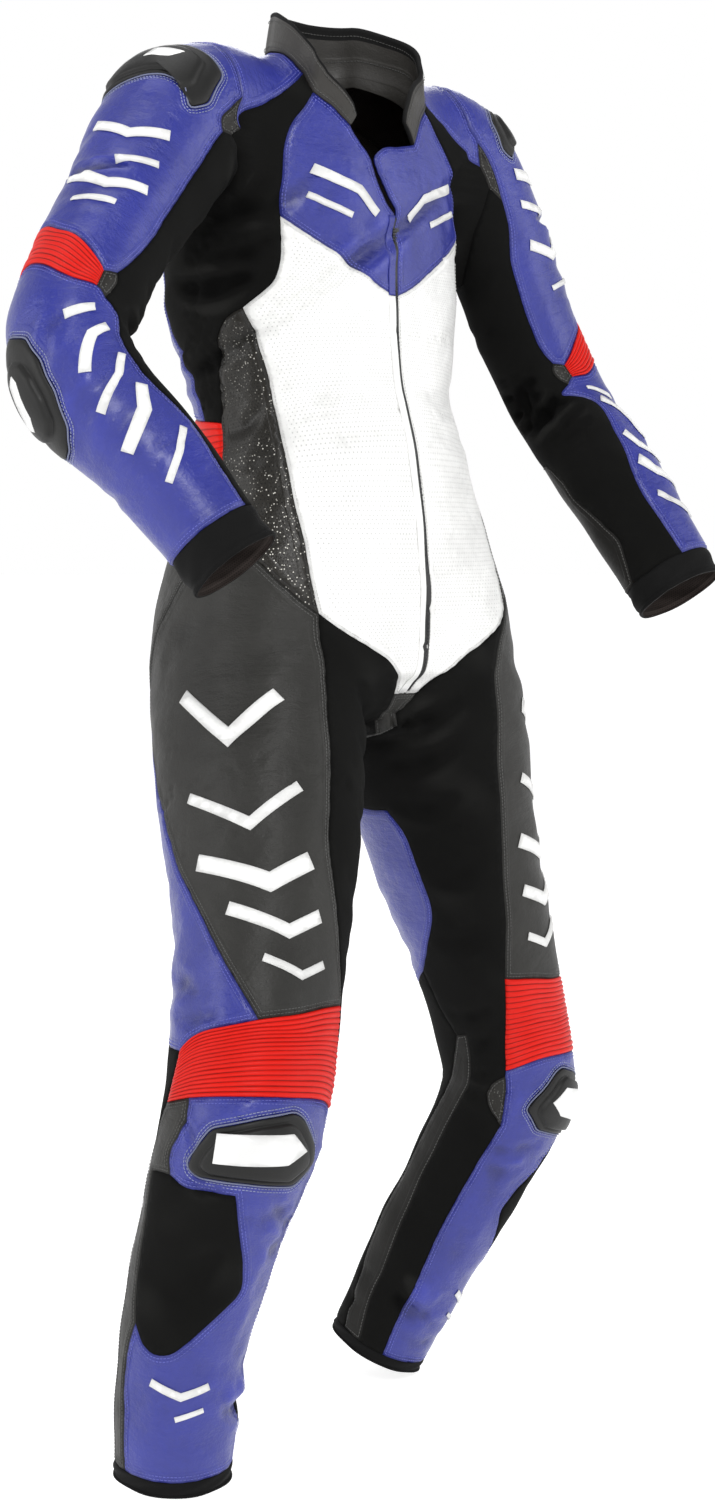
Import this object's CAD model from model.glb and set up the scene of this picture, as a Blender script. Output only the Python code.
"""Dresses the motorcycle race suit: fine leather and stretch panels, ribs, armour, zip and thread.

The suit's outside is one smooth form: a torso, two sleeves and two legs, each a row of oval
sections on a curved centre line, blended where they meet.  Seams are curves on that form, and each
panel is the area inside a loop of seams.  Heights are above the ankle hems while the form is worked
out; the finished part has its origin inside the neck, where the wearer holds the suit up.
"""

import math

import bpy
import numpy as np
from mathutils import Matrix, Vector
from mathutils.geometry import delaunay_2d_cdt


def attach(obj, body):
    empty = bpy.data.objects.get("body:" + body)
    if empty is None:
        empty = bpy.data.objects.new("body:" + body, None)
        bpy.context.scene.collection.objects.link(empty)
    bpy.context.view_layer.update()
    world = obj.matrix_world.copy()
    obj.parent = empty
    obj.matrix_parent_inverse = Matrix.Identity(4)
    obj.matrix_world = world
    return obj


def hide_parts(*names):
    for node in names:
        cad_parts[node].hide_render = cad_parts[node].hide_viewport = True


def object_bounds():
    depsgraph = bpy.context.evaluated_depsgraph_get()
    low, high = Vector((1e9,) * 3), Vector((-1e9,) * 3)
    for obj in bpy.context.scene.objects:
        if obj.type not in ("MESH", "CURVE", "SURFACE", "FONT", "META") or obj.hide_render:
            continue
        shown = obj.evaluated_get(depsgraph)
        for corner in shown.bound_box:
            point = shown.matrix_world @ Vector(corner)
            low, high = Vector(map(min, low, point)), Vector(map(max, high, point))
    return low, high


bl_info = {
    "name": "Race suit",
    "version": (1, 0, 0),
    "blender": (4, 5, 0),
    "location": "3D View > Sidebar > Race suit",
    "description": "Panels, ribs, armour, zip and stitching of a one-piece motorcycle race suit",
    "category": "Object",
}

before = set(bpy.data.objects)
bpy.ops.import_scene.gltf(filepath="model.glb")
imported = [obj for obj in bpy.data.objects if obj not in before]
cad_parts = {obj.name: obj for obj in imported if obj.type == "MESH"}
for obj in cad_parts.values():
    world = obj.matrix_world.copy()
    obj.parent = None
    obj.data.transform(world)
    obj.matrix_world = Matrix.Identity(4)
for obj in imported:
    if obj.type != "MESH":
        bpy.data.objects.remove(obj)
CAD_BOX = [[float(x) for x in corner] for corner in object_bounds()]

# ---- driving dimensions, metres ----
HELD_AT = np.array([0.0, 0.015, 1.400])
SEAM_GAP = 0.00002
LEATHER = 0.0020
STRETCH = 0.0018
OVALITY = 2.25
STEP_ROUND = 0.0052
STEP_ALONG = 0.0052
ARM_BLEND = 0.045
LEG_BLEND = 0.040
CROTCH_BLEND = 0.016

# station (height), centre x, y, z, half width, depth to the front, depth to the back
TORSO_ROWS = [
    (1.470, 0.000, 0.022, 1.470, 0.062, 0.060, 0.060),
    (1.440, 0.000, 0.020, 1.440, 0.088, 0.072, 0.080),
    (1.410, 0.000, 0.022, 1.410, 0.125, 0.084, 0.098),
    (1.370, 0.000, 0.028, 1.370, 0.152, 0.096, 0.114),
    (1.300, 0.000, 0.038, 1.300, 0.166, 0.108, 0.124),
    (1.220, 0.000, 0.046, 1.220, 0.170, 0.117, 0.124),
    (1.160, 0.000, 0.040, 1.160, 0.158, 0.114, 0.115),
    (1.108, 0.000, 0.032, 1.108, 0.145, 0.112, 0.108),
    (1.037, 0.000, 0.018, 1.037, 0.155, 0.119, 0.116),
    (0.987, 0.000, 0.016, 0.987, 0.167, 0.126, 0.127),
    (0.930, 0.000, 0.018, 0.930, 0.184, 0.133, 0.140),
    (0.870, 0.000, 0.020, 0.870, 0.182, 0.134, 0.146),
    (0.820, 0.000, 0.018, 0.820, 0.160, 0.120, 0.136),
    (0.785, 0.000, 0.012, 0.785, 0.108, 0.078, 0.092),
    (0.774, 0.000, 0.010, 0.774, 0.072, 0.054, 0.064),
    (0.767, 0.000, 0.010, 0.767, 0.022, 0.018, 0.020),
]
# sleeve stations: -1 neck, 1 shoulder, 4 elbow, 6 cuff band; the last row lies past the cuff
SLEEVE_R_ROWS = [
    (-1.0, -0.020, 0.030, 1.402, 0.045, 0.045, 0.045),
    (0.0, -0.105, 0.036, 1.394, 0.060, 0.062, 0.062),
    (1.0, -0.190, 0.035, 1.380, 0.073, 0.073, 0.073),
    (2.0, -0.290, 0.011, 1.283, 0.060, 0.060, 0.060),
    (3.0, -0.348, -0.010, 1.219, 0.056, 0.056, 0.056),
    (4.0, -0.391, -0.030, 1.155, 0.055, 0.055, 0.055),
    (5.0, -0.387, -0.072, 1.091, 0.054, 0.054, 0.054),
    (5.5, -0.366, -0.113, 1.047, 0.049, 0.049, 0.049),
    (6.0, -0.336, -0.169, 0.970, 0.043, 0.043, 0.043),
    (6.3, -0.319, -0.202, 0.925, 0.043, 0.043, 0.043),
]
SLEEVE_L_ROWS = [
    (-1.0, 0.020, 0.030, 1.402, 0.045, 0.045, 0.045),
    (0.0, 0.090, 0.032, 1.394, 0.058, 0.060, 0.060),
    (1.0, 0.160, 0.016, 1.380, 0.071, 0.071, 0.071),
    (2.0, 0.206, -0.019, 1.300, 0.057, 0.057, 0.057),
    (2.8, 0.240, -0.040, 1.202, 0.053, 0.053, 0.053),
    (3.8, 0.262, -0.075, 1.117, 0.051, 0.051, 0.051),
    (4.8, 0.254, -0.133, 1.055, 0.051, 0.051, 0.051),
    (5.5, 0.258, -0.176, 1.001, 0.049, 0.049, 0.049),
    (6.0, 0.267, -0.220, 0.934, 0.046, 0.046, 0.046),
    (6.3, 0.272, -0.246, 0.894, 0.046, 0.046, 0.046),
]
# leg stations: -1 waist, 0 inside the hip, 1 crotch height, 5 knee, 9 past the ankle hem
LEG_R_ROWS = [
    (-1.0, -0.085, 0.022, 1.030, 0.050, 0.060, 0.070),
    (0.0, -0.095, 0.018, 0.913, 0.080, 0.100, 0.115),
    (1.0, -0.119, 0.006, 0.813, 0.093, 0.112, 0.120),
    (2.0, -0.172, -0.052, 0.660, 0.088, 0.096, 0.096),
    (3.0, -0.202, -0.080, 0.577, 0.081, 0.083, 0.083),
    (4.0, -0.232, -0.102, 0.496, 0.077, 0.078, 0.078),
    (5.0, -0.259, -0.112, 0.419, 0.075, 0.076, 0.074),
    (6.0, -0.288, -0.096, 0.310, 0.064, 0.066, 0.068),
    (7.0, -0.305, -0.080, 0.212, 0.059, 0.059, 0.060),
    (8.0, -0.313, -0.077, 0.136, 0.056, 0.056, 0.056),
    (9.0, -0.314, -0.073, 0.073, 0.054, 0.054, 0.054),
]
LEG_L_ROWS = [
    (-1.0, 0.085, 0.020, 1.030, 0.050, 0.060, 0.070),
    (0.0, 0.095, 0.005, 0.910, 0.085, 0.100, 0.115),
    (1.0, 0.108, -0.010, 0.813, 0.091, 0.108, 0.116),
    (2.3, 0.141, -0.026, 0.640, 0.084, 0.092, 0.092),
    (3.5, 0.172, -0.043, 0.525, 0.074, 0.076, 0.076),
    (4.25, 0.194, -0.047, 0.450, 0.070, 0.071, 0.071),
    (5.0, 0.204, -0.050, 0.380, 0.069, 0.070, 0.068),
    (6.0, 0.180, -0.023, 0.287, 0.062, 0.064, 0.064),
    (7.0, 0.146, 0.015, 0.193, 0.058, 0.059, 0.059),
    (8.0, 0.119, 0.041, 0.116, 0.054, 0.054, 0.054),
    (9.0, 0.103, 0.059, 0.067, 0.051, 0.051, 0.051),
]
# a guide arch through both hips, inside the form, for the seat's coordinates: rows every 15 degrees
HIPS_ARCH = 0.300
HIPS_ROWS = [
    (k, HIPS_ARCH * math.sin(math.radians(15 * k)), 0.0,
     0.600 + HIPS_ARCH * math.cos(math.radians(15 * k)), reach, reach, reach)
    for k, reach in ((-3.0, 0.02), (-2.0, 0.04), (-1.0, 0.06), (0.0, 0.08), (1.0, 0.06),
                     (2.0, 0.04), (3.0, 0.02))
]
# how far the left sleeve and leg are turned against a mirror image of the right: station, degrees
LEFT_TURN = {
    "arm": [(1.0, 0), (1.5, -14), (2.2, -33), (3.0, -45), (3.5, -50), (3.9, -46), (4.3, -20),
            (4.65, -3), (6.0, 0)],
    "leg": [(0.3, 0), (0.9, -14), (2.2, -15), (2.9, -5), (3.6, 0)],
}


def smooth_rows(stations, values, at):
    """A cubic through each column of values: at every row its slope is the mean of its neighbours'."""
    step = np.diff(stations)
    rise = np.diff(values, axis=0) / step[:, None]
    slope = np.empty_like(values)
    slope[0], slope[-1] = rise[0], rise[-1]
    before, after = step[:-1, None], step[1:, None]
    slope[1:-1] = (after * rise[:-1] + before * rise[1:]) / (before + after)
    k = np.clip(np.searchsorted(stations, at, side="right") - 1, 0, len(stations) - 2)
    h = step[k][:, None]
    u = ((at - stations[k]) / step[k])[:, None]
    return ((2 * u**3 - 3 * u**2 + 1) * values[k] + (u**3 - 2 * u**2 + u) * h * slope[k]
            + (3 * u**2 - 2 * u**3) * values[k + 1] + (u**3 - u**2) * h * slope[k + 1])


class Limb:
    """A tube of oval sections: where its centre line is, and how far out its cloth lies."""

    SAMPLES = 700

    def __init__(self, rows, heading=(0.0, 0.0, 1.0)):
        table = np.array(sorted(rows))
        self.first, self.last = table[0, 0], table[-1, 0]
        self.at = np.linspace(self.first, self.last, self.SAMPLES)
        dense = smooth_rows(table[:, 0], table[:, 1:], self.at)
        self.centre = dense[:, :3]
        self.size = dense[:, 3:]
        run = np.gradient(self.centre, self.at, axis=0)
        self.speed = np.linalg.norm(run, axis=1)
        self.along = run / self.speed[:, None]
        upward = self.along * np.where(self.along @ np.array(heading) >= 0, 1, -1)[:, None]
        forward = np.array([0.0, -1.0, 0.0]) - upward * (-upward[:, 1:2])
        self.forward = forward / np.linalg.norm(forward, axis=1)[:, None]
        self.side = np.cross(upward, self.forward)
        pace = np.linalg.norm(np.diff(self.centre, axis=0), axis=1)
        self.run = np.concatenate([[0.0], np.cumsum(pace)])

    def along_at(self, station):
        return np.interp(station, self.at, self.run)

    def station_at(self, run):
        return np.interp(run, self.run, self.at)

    def read(self, table, station):
        return np.stack([np.interp(station, self.at, column) for column in table.T], axis=-1)

    def radius(self, station, angle):
        """The oval's reach at an angle: half width at the sides, its own depth in front and behind."""
        half, front, back = self.read(self.size, station).T
        depth = np.where(np.cos(angle) > 0, front, back)
        across = np.abs(np.sin(angle)) / half
        along = np.abs(np.cos(angle)) / depth
        return (across**OVALITY + along**OVALITY) ** (-1 / OVALITY)

    def outward(self, station, angle):
        side = self.read(self.side, station)
        forward = self.read(self.forward, station)
        return np.sin(angle)[:, None] * side + np.cos(angle)[:, None] * forward

    def locate(self, points):
        """Station, angle and distance from the centre line of points in space."""
        coarse = slice(0, self.SAMPLES, 8)
        spread = points[:, None, :] - self.centre[None, coarse]
        station = self.at[coarse][np.argmin((spread**2).sum(2), axis=1)]
        for _ in range(6):
            ahead = points - self.read(self.centre, station)
            run = (ahead * self.read(self.along, station)).sum(1)
            station = np.clip(station + run / self.read(self.speed[:, None], station)[:, 0],
                              self.first, self.last)
        reach = points - self.read(self.centre, station)
        angle = np.arctan2((reach * self.read(self.side, station)).sum(1),
                           (reach * self.read(self.forward, station)).sum(1))
        return station, angle, np.linalg.norm(reach, axis=1)

    def depth_outside(self, points):
        station, angle, distance = self.locate(points)
        return distance - self.radius(station, angle), station


def melt(a, b, width):
    """The smaller of two distances, rounded over a width where they are nearly equal."""
    share = np.clip(0.5 + 0.5 * (b - a) / width, 0, 1)
    return b * (1 - share) + a * share - width * share * (1 - share)


def fade(value, start, end):
    u = np.clip((value - start) / (end - start), 0, 1)
    return u * u * (3 - 2 * u)


LIMBS = {
    "torso": Limb(TORSO_ROWS),
    "arm_R": Limb(SLEEVE_R_ROWS),
    "arm_L": Limb(SLEEVE_L_ROWS),
    "leg_R": Limb(LEG_R_ROWS),
    "leg_L": Limb(LEG_L_ROWS),
    "hips": Limb(HIPS_ROWS, (1.0, 0.0, 0.0)),
}


# beyond these stations a limb no longer melts into its neighbours
ALONE = {"arm_R": 1.7, "arm_L": 1.7, "leg_R": 2.2, "leg_L": 2.2}


def outside(points, host):
    """How far points lie outside the suit, as seen from one limb: its neighbours melt into it."""
    if host in ALONE:
        own, station = LIMBS[host].depth_outside(points)
        near = station < ALONE[host]
        if not near.all():
            if near.any():
                own[near] = melted(points[near], host)
            return own
    return melted(points, host)


def melted(points, host):
    torso, _ = LIMBS["torso"].depth_outside(points)
    if host.startswith("arm"):
        arm, station = LIMBS[host].depth_outside(points)
        return melt(arm, torso, ARM_BLEND * (1 - fade(station, 0.9, 1.7)) + 1e-6)
    side = points[:, 0] < 0
    if host == "torso":
        for name, mine in (("arm_R", side), ("arm_L", ~side)):
            arm, station = LIMBS[name].depth_outside(points[mine])
            torso[mine] = melt(arm, torso[mine], ARM_BLEND * (1 - fade(station, 0.9, 1.7)) + 1e-6)
    leg_r, station_r = LIMBS["leg_R"].depth_outside(points)
    leg_l, station_l = LIMBS["leg_L"].depth_outside(points)
    both = melt(leg_r, leg_l, CROTCH_BLEND)
    station = np.where(leg_r < leg_l, station_r, station_l)
    if host.startswith("leg"):
        station = station_r if host == "leg_R" else station_l
    return melt(both, torso, LEG_BLEND * (1 - fade(station, 1.4, 2.2)) + 1e-6)


def surface(host, station, angle):
    """Points of the suit's outside: along each ray out of the limb's centre line, where it leaves."""
    limb = LIMBS[host]
    origin = limb.read(limb.centre, station)
    ray = limb.outward(station, angle)
    reach = limb.radius(station, angle)
    near = np.flatnonzero(station < ALONE.get(host, 99.0) + 0.02)
    if len(near):
        reach[near] = leave(host, origin[near], ray[near], reach[near])
    return origin + ray * reach[:, None]


def leave(host, origin, ray, reach):
    """How far each ray runs inside the suit, found between two distances by false position."""
    low = reach * 0.97
    high = low.copy()
    depth_low = outside(origin + ray * low[:, None], host)
    depth_high = depth_low.copy()
    for _ in range(14):
        inside = depth_high < 0
        if not inside.any():
            break
        low = np.where(inside, high, low)
        depth_low = np.where(inside, depth_high, depth_low)
        high = np.where(inside, high + np.maximum(0.006, -depth_high * 0.9), high)
        moved = np.flatnonzero(inside)
        depth_high[moved] = outside(origin[moved] + ray[moved] * high[moved, None], host)
    for _ in range(7):
        gap = np.where(np.abs(depth_high - depth_low) < 1e-12, 1.0, depth_high - depth_low)
        middle = np.clip(low - depth_low * (high - low) / gap, low, high)
        depth = outside(origin + ray * middle[:, None], host)
        inside = depth < 0
        low, depth_low = np.where(inside, middle, low), np.where(inside, depth, depth_low * 0.5)
        high = np.where(inside, high, middle)
        depth_high = np.where(inside, depth_high * 0.5, depth)
    return 0.5 * (low + high)


def normals(points, host):
    """Directions straight out of the cloth: the slope of the outside distance."""
    step = 0.0015
    slope = np.empty_like(points)
    for axis in range(3):
        shift = np.zeros(3)
        shift[axis] = step
        slope[:, axis] = outside(points + shift, host) - outside(points - shift, host)
    return slope / np.linalg.norm(slope, axis=1)[:, None]


# ---- seams: corner points, then curves between them ----
# name: (limb, degrees round, station); given for the wearer's right, mirrored for the left
CORNERS = {
    "NB": ("torso", -150, 1.470), "N1": ("torso", -62, 1.436), "N2": ("torso", -55, 1.420),
    "N3": ("torso", -33, 1.397), "Z0": ("torso", -1.2, 1.316), "Z1": ("torso", -1.2, 1.216),
    "Z2": ("torso", -0.9, 0.799), "V": ("torso", -8.5, 0.799), "C1": ("torso", -60, 1.300),
    "C2": ("torso", -71, 1.197), "C3": ("torso", -83, 1.173), "L1": ("torso", -92, 1.092),
    "L2": ("torso", -90, 1.038), "B1": ("torso", -103, 1.100), "H0": ("torso", -86, 0.975),
    "H1": ("torso", -50, 0.907), "CR": ("hips", 112, -0.22),
    "G0": ("arm", -10, 0.88), "G1": ("arm", 11, 1.10), "G2": ("arm", 10, 1.235),
    "G3": ("arm", 2, 1.297), "A2": ("arm", -178, 1.02), "A3": ("arm", 133, 1.22),
    "E1": ("arm", -12, 3.30), "E2": ("arm", -25, 3.39), "E3": ("arm", -25, 3.63),
    "E4": ("arm", -13, 3.74), "E5": ("arm", -175, 2.95), "E6": ("arm", -175, 3.60),
    "D1": ("arm", -172, 3.95), "F1": ("arm", 24, 5.95), "F2": ("arm", -162, 5.95),
    "F3": ("arm", 108, 5.95),
    "Q": ("leg", -152, 1.05), "U": ("leg", 138, 1.64), "T1": ("leg", 81, 1.80), "K0": ("leg", 34, 3.59),
    "K1": ("leg", 50, 4.69), "K2": ("leg", -89, 4.84), "R0": ("leg", -44, 3.95),
    "R1": ("leg", -108, 4.32), "R2": ("leg", -116, 4.93), "M1": ("leg", 111, 3.45),
    "S1": ("leg", 79, 4.16), "S2": ("leg", 91, 4.20), "P1": ("leg", 51, 4.76),
    "P2": ("leg", 45, 5.40), "C4": ("leg", -97, 6.79), "C5": ("leg", -118, 5.55),
    "C6": ("leg", -92, 5.50), "C7": ("leg", -35, 5.471), "J1": ("leg", 41, 8.60),
    "J2": ("leg", -98, 8.60), "J3": ("leg", -128, 8.60), "J4": ("leg", 73, 8.60),
    "J5": ("leg", 104, 8.60),
}
# where the left front differs from a mirror image: its flap crosses the middle
LEFT_CORNERS = {
    "N1": ("torso", 50, 1.431), "N2": ("torso", 44, 1.421), "N3": ("torso", 21, 1.389),
    "Z0": ("torso", 1.2, 1.322), "G0": ("arm_L", -2, 1.10), "G1": ("arm_L", -20, 1.38),
    "G2": ("arm_L", -25, 1.62), "G3": ("arm_L", -19, 1.78), "A3": ("arm_L", -163, 1.25),
}
# name: (from, to, limb, rows of degrees round and station between)
SEAMS = {
    "neck_yoke": ("NB", "N1", "torso", [(-111, 1.470), (-79, 1.456)]),
    "neck_stretch": ("N1", "N2", "torso", []),
    "neck_chest": ("N2", "N3", "torso", [(-42, 1.407)]),
    "neck_front": ("N3", "Z0", "torso", [(-30, 1.391), (-20, 1.372), (-14, 1.348), (-7, 1.328)]),
    "yoke_front": ("N1", "G1", "torso", [(-66, 1.418), (-69, 1.405), (-71, 1.394)]),
    "yoke_rear": ("NB", "A2", "arm", [(-140, -0.50), (-155, 0.0), (-168, 0.50)]),
    "gusset_yoke": ("G1", "G0", "arm", [(6.5, 1.104), (2, 1.085), (-2.5, 1.02), (-6.5, 0.94)]),
    "gusset_chest": ("G1", "G2", "arm", []),
    "gusset_inner": ("G2", "G3", "arm", []),
    "gusset_outer": ("G3", "G0", "arm", [(-5, 1.26), (-7, 1.08)]),
    "armhole_top": ("G0", "A2", "arm", [(-28, 0.80), (-45, 0.74), (-70, 0.70), (-90, 0.70),
                                       (-115, 0.74), (-140, 0.82), (-160, 0.92)]),
    "armhole_back": ("A2", "A3", "arm", [(163, 1.10), (148, 1.16)]),
    "armhole_under": ("A3", "G2", "arm", [(120, 1.30), (106, 1.39), (90, 1.42), (75, 1.38),
                                         (62, 1.29), (48, 1.24), (30, 1.22)]),
    "chest_side": ("N2", "C1", "torso", [(-57, 1.408), (-60, 1.396), (-61.5, 1.371),
                                        (-61, 1.343), (-61, 1.316)]),
    "chest_hem": ("C1", "Z1", "torso", [(-52, 1.290), (-39, 1.275), (-23, 1.254), (-12, 1.235)]),
    "zip_chest": ("Z0", "Z1", "torso", [(-1.2, 1.27)]),
    "zip_front": ("Z1", "Z2", "torso", [(-1.1, 1.1), (-1.0, 0.95)]),
    "zip_foot": ("Z2", "V", "torso", []),
    "hip_front": ("V", "H1", "torso", [(-15, 0.829), (-22, 0.852), (-33, 0.870), (-43, 0.891)]),
    "white_top": ("C1", "C2", "torso", [(-59, 1.283), (-58, 1.258), (-61, 1.224), (-66, 1.208)]),
    "white_low": ("C2", "H1", "torso", [(-69, 1.173), (-67, 1.142), (-66, 1.089), (-63, 1.040),
                                       (-60, 1.006), (-56, 0.973), (-53, 0.939)]),
    "side_top": ("C2", "C3", "torso", [(-77, 1.190)]),
    "side_rear_top": ("C3", "L1", "torso", [(-87, 1.142), (-91, 1.11)]),
    "lumbar_end": ("L1", "L2", "torso", []),
    "side_rear_low": ("L2", "H0", "torso", [(-88, 1.01)]),
    "hip_side": ("H1", "H0", "torso", [(-56, 0.920), (-62, 0.935), (-70, 0.955), (-78, 0.968)]),
    "hip_rear": ("H0", "Q", "leg", [(-105, -0.1), (-125, 0.35), (-142, 0.75)]),
    "back_side": ("A3", "B1", "torso", [(-116, 1.26), (-110, 1.19), (-105, 1.14)]),
    "lumbar_step": ("L1", "B1", "torso", [(-97, 1.096)]),
    "seat_thigh": ("Q", "U", "leg", [(-170, 1.25), (168, 1.45)]),
    "thigh_back_top": ("U", "T1", "leg", [(115, 1.78)]),
    "seat_inner": ("U", "CR", "leg", [(134, 1.47), (126, 1.31)]),
    "crotch_side": ("V", "CR", "hips", [(60, -0.16), (80, -0.14), (98, -0.16)]),
    "thigh_front": ("H1", "K0", "leg", [(-16, 0.6), (-13, 0.872), (-10, 1.257), (-6, 1.597),
                                       (-5, 1.85), (-2, 2.2), (5, 2.5), (17, 3.0)]),
    "ribs_top_front": ("K0", "R0", "leg", [(10, 3.70), (-15, 3.835)]),
    "ribs_top_side": ("R0", "R1", "leg", [(-63, 4.029), (-91, 4.142)]),
    "ribs_outer": ("R1", "R2", "leg", [(-112, 4.6)]),
    "ribs_low_side": ("R2", "K2", "leg", []),
    "ribs_low_front": ("K2", "K1", "leg", [(-49, 4.756), (-14, 4.688), (24, 4.64)]),
    "ribs_inner": ("K0", "K1", "leg", [(39, 3.9), (45, 4.28)]),
    "thigh_diagonal": ("R0", "Q", "leg", [(-62, 3.574), (-82, 3.085), (-104, 2.433),
                                         (-126, 1.816), (-138, 1.5)]),
    "thigh_inner": ("T1", "M1", "leg", [(70, 1.95), (65, 2.23), (69, 2.72), (93, 3.15)]),
    "knee_back": ("M1", "R1", "leg", [(140, 3.70), (180, 3.9), (-140, 4.15)]),
    "calf_inner_top": ("M1", "S2", "leg", [(102, 3.85)]),
    "strip_tip": ("S2", "S1", "leg", []),
    "strip_front": ("S1", "J4", "leg", [(81, 4.51), (85, 4.84), (93, 5.5), (95, 5.88), (95, 6.37),
                                       (90, 6.76), (86, 7.04), (84, 7.36), (83, 7.87), (76, 8.37)]),
    "strip_back": ("S2", "J5", "leg", [(108, 4.73), (120, 5.52), (126, 5.92), (129, 6.55),
                                      (127, 7.0), (124, 7.4), (113, 7.9), (107, 8.4)]),
    "knee_corner": ("K1", "P1", "leg", []),
    "patch_front": ("P1", "P2", "leg", [(50, 5.1)]),
    "patch_rear": ("P1", "P2", "leg", [(60, 4.82), (67, 5.05), (60, 5.25)]),
    "shin_inner": ("P2", "J1", "leg", [(46, 5.6), (49, 6.07), (48, 6.56), (45, 7.0), (43, 7.5),
                                      (44, 7.9)]),
    "shin_outer": ("C4", "J2", "leg", [(-101, 6.95), (-104, 7.31), (-101, 7.9)]),
    "knee_outer": ("K2", "C6", "leg", [(-89, 5.043), (-92, 5.182), (-97, 5.364)]),
    "calf_top": ("C6", "C7", "leg", [(-74, 5.532), (-57, 5.502)]),
    "calf_front": ("C7", "C4", "leg", [(-25, 5.7), (-10, 6.037), (-5, 6.25), (-16, 6.42),
                                      (-31, 6.634), (-43, 6.816), (-55, 6.966), (-69, 7.01),
                                      (-82, 6.96)]),
    "calf_rear": ("C4", "C5", "leg", [(-106, 6.4), (-113, 6.0)]),
    "calf_top_out": ("C6", "C5", "leg", [(-105, 5.52)]),
    "outer_rear": ("R2", "J3", "leg", [(-134, 5.4), (-138, 6.0), (-134, 6.6), (-130, 7.2),
                                      (-129, 8.0)]),
    "ankle_shin": ("J1", "J2", "leg", [(0, 8.6), (-50, 8.6)]),
    "ankle_stretch": ("J1", "J4", "leg", []),
    "ankle_inner": ("J4", "J5", "leg", []),
    "ankle_outer": ("J2", "J3", "leg", []),
    "ankle_calf": ("J5", "J3", "leg", [(140, 8.6), (180, 8.6), (-155, 8.6)]),
    "sleeve_front": ("G3", "E1", "arm", [(3, 1.42), (5, 1.575), (6, 1.822), (6, 2.152),
                                        (6, 2.513), (2, 2.880), (-6, 3.139)]),
    "sleeve_rear": ("A2", "E5", "arm", [(-178, 1.5), (-178, 2.2)]),
    "elbow_top": ("E2", "E5", "arm", [(-43, 3.242), (-66, 3.068), (-84, 2.975), (-113, 2.80),
                                     (-145, 2.80)]),
    "elbow_patch_top": ("E1", "E2", "arm", []),
    "elbow_inner": ("E2", "E3", "arm", []),
    "elbow_low": ("E3", "E6", "arm", [(-48, 3.648), (-62, 3.593), (-83, 3.480), (-108, 3.40),
                                     (-145, 3.45)]),
    "elbow_outer": ("E5", "E6", "arm", []),
    "elbow_patch_in": ("E1", "E4", "arm", [(-8, 3.40), (-9, 3.54)]),
    "elbow_patch_low": ("E3", "E4", "arm", [(-20, 3.66)]),
    "forearm_front": ("E4", "F1", "arm", [(-3, 3.80), (7, 3.92), (14, 4.4), (20, 4.9), (31, 5.5),
                                         (27, 5.72)]),
    "forearm_rear": ("E6", "D1", "arm", []),
    "forearm_back": ("D1", "F2", "arm", [(-168, 4.6), (-165, 5.3)]),
    "strip_inner": ("D1", "F3", "arm", [(160, 4.2), (135, 4.45), (118, 4.68), (109, 4.89),
                                       (110, 5.09), (101, 5.35), (94, 5.53), (88, 5.68),
                                       (95, 5.80)]),
    "cuff_forearm": ("F1", "F2", "arm", [(0, 5.95), (-50, 5.95), (-100, 5.95), (-135, 5.95)]),
    "cuff_stretch": ("F1", "F3", "arm", [(65, 5.95)]),
    "cuff_strip": ("F3", "F2", "arm", [(140, 5.95), (175, 5.95)]),
}
LEFT_SEAMS = {
    "neck_chest": ("N2", "N3", "torso", [(33, 1.410)]),
    "neck_front": ("N3", "Z0", "torso", [(6, 1.385), (-8, 1.381), (-15, 1.370), (-10, 1.350),
                                        (-4, 1.334)]),
    "yoke_front": ("N1", "G1", "torso", [(52, 1.424), (55, 1.414), (57.8, 1.401)]),
    "chest_side": ("N2", "C1", "torso", [(46, 1.406), (50, 1.390), (53, 1.371), (55.5, 1.350),
                                        (58, 1.320)]),
    "seat_inner": ("U", "CR", "leg_L", [(-135, 1.52), (-128, 1.43)]),
    "gusset_yoke": ("G1", "G0", "arm_L", [(-12, 1.24)]),
    "gusset_outer": ("G3", "G0", "arm_L", [(-13, 1.58), (-7, 1.34)]),
    "armhole_top": ("G0", "A2", "arm_L", [(8, 0.90), (25, 0.76), (45, 0.66), (70, 0.66),
                                         (90, 0.70), (115, 0.74), (140, 0.82), (160, 0.92)]),
    "armhole_back": ("A2", "A3", "arm_L", [(-172, 1.12)]),
    "armhole_under": ("A3", "G2", "arm_L", [(-156, 1.50), (-148, 1.76), (-140, 1.98),
                                           (-130, 2.17), (-120, 2.27), (-110, 2.27),
                                           (-100, 2.21), (-90, 2.13), (-80, 2.05), (-70, 1.97),
                                           (-60, 1.89), (-50, 1.82), (-38, 1.73)]),
    "sleeve_front": ("G3", "E1", "arm_L", [(-23, 1.93), (-38, 2.22), (-41, 2.45), (-42, 2.78),
                                          (-41, 3.10)]),
}
# seams that run from the right side to the left
MIDDLE_SEAMS = {
    "neck_back": ("NB", "torso", [(-165, 1.470), (180, 1.470), (165, 1.470)]),
    "lumbar_top": ("B1", "torso", [(-125, 1.112), (-150, 1.122), (180, 1.125), (150, 1.122),
                                  (125, 1.112)]),
    "lumbar_low": ("L2", "torso", [(-110, 1.022), (-140, 1.006), (180, 1.000), (140, 1.006),
                                  (110, 1.022)]),
    "zip_end": ("Z2", "torso", []),
    "crotch_rear": ("CR", "hips", []),
}
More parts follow.
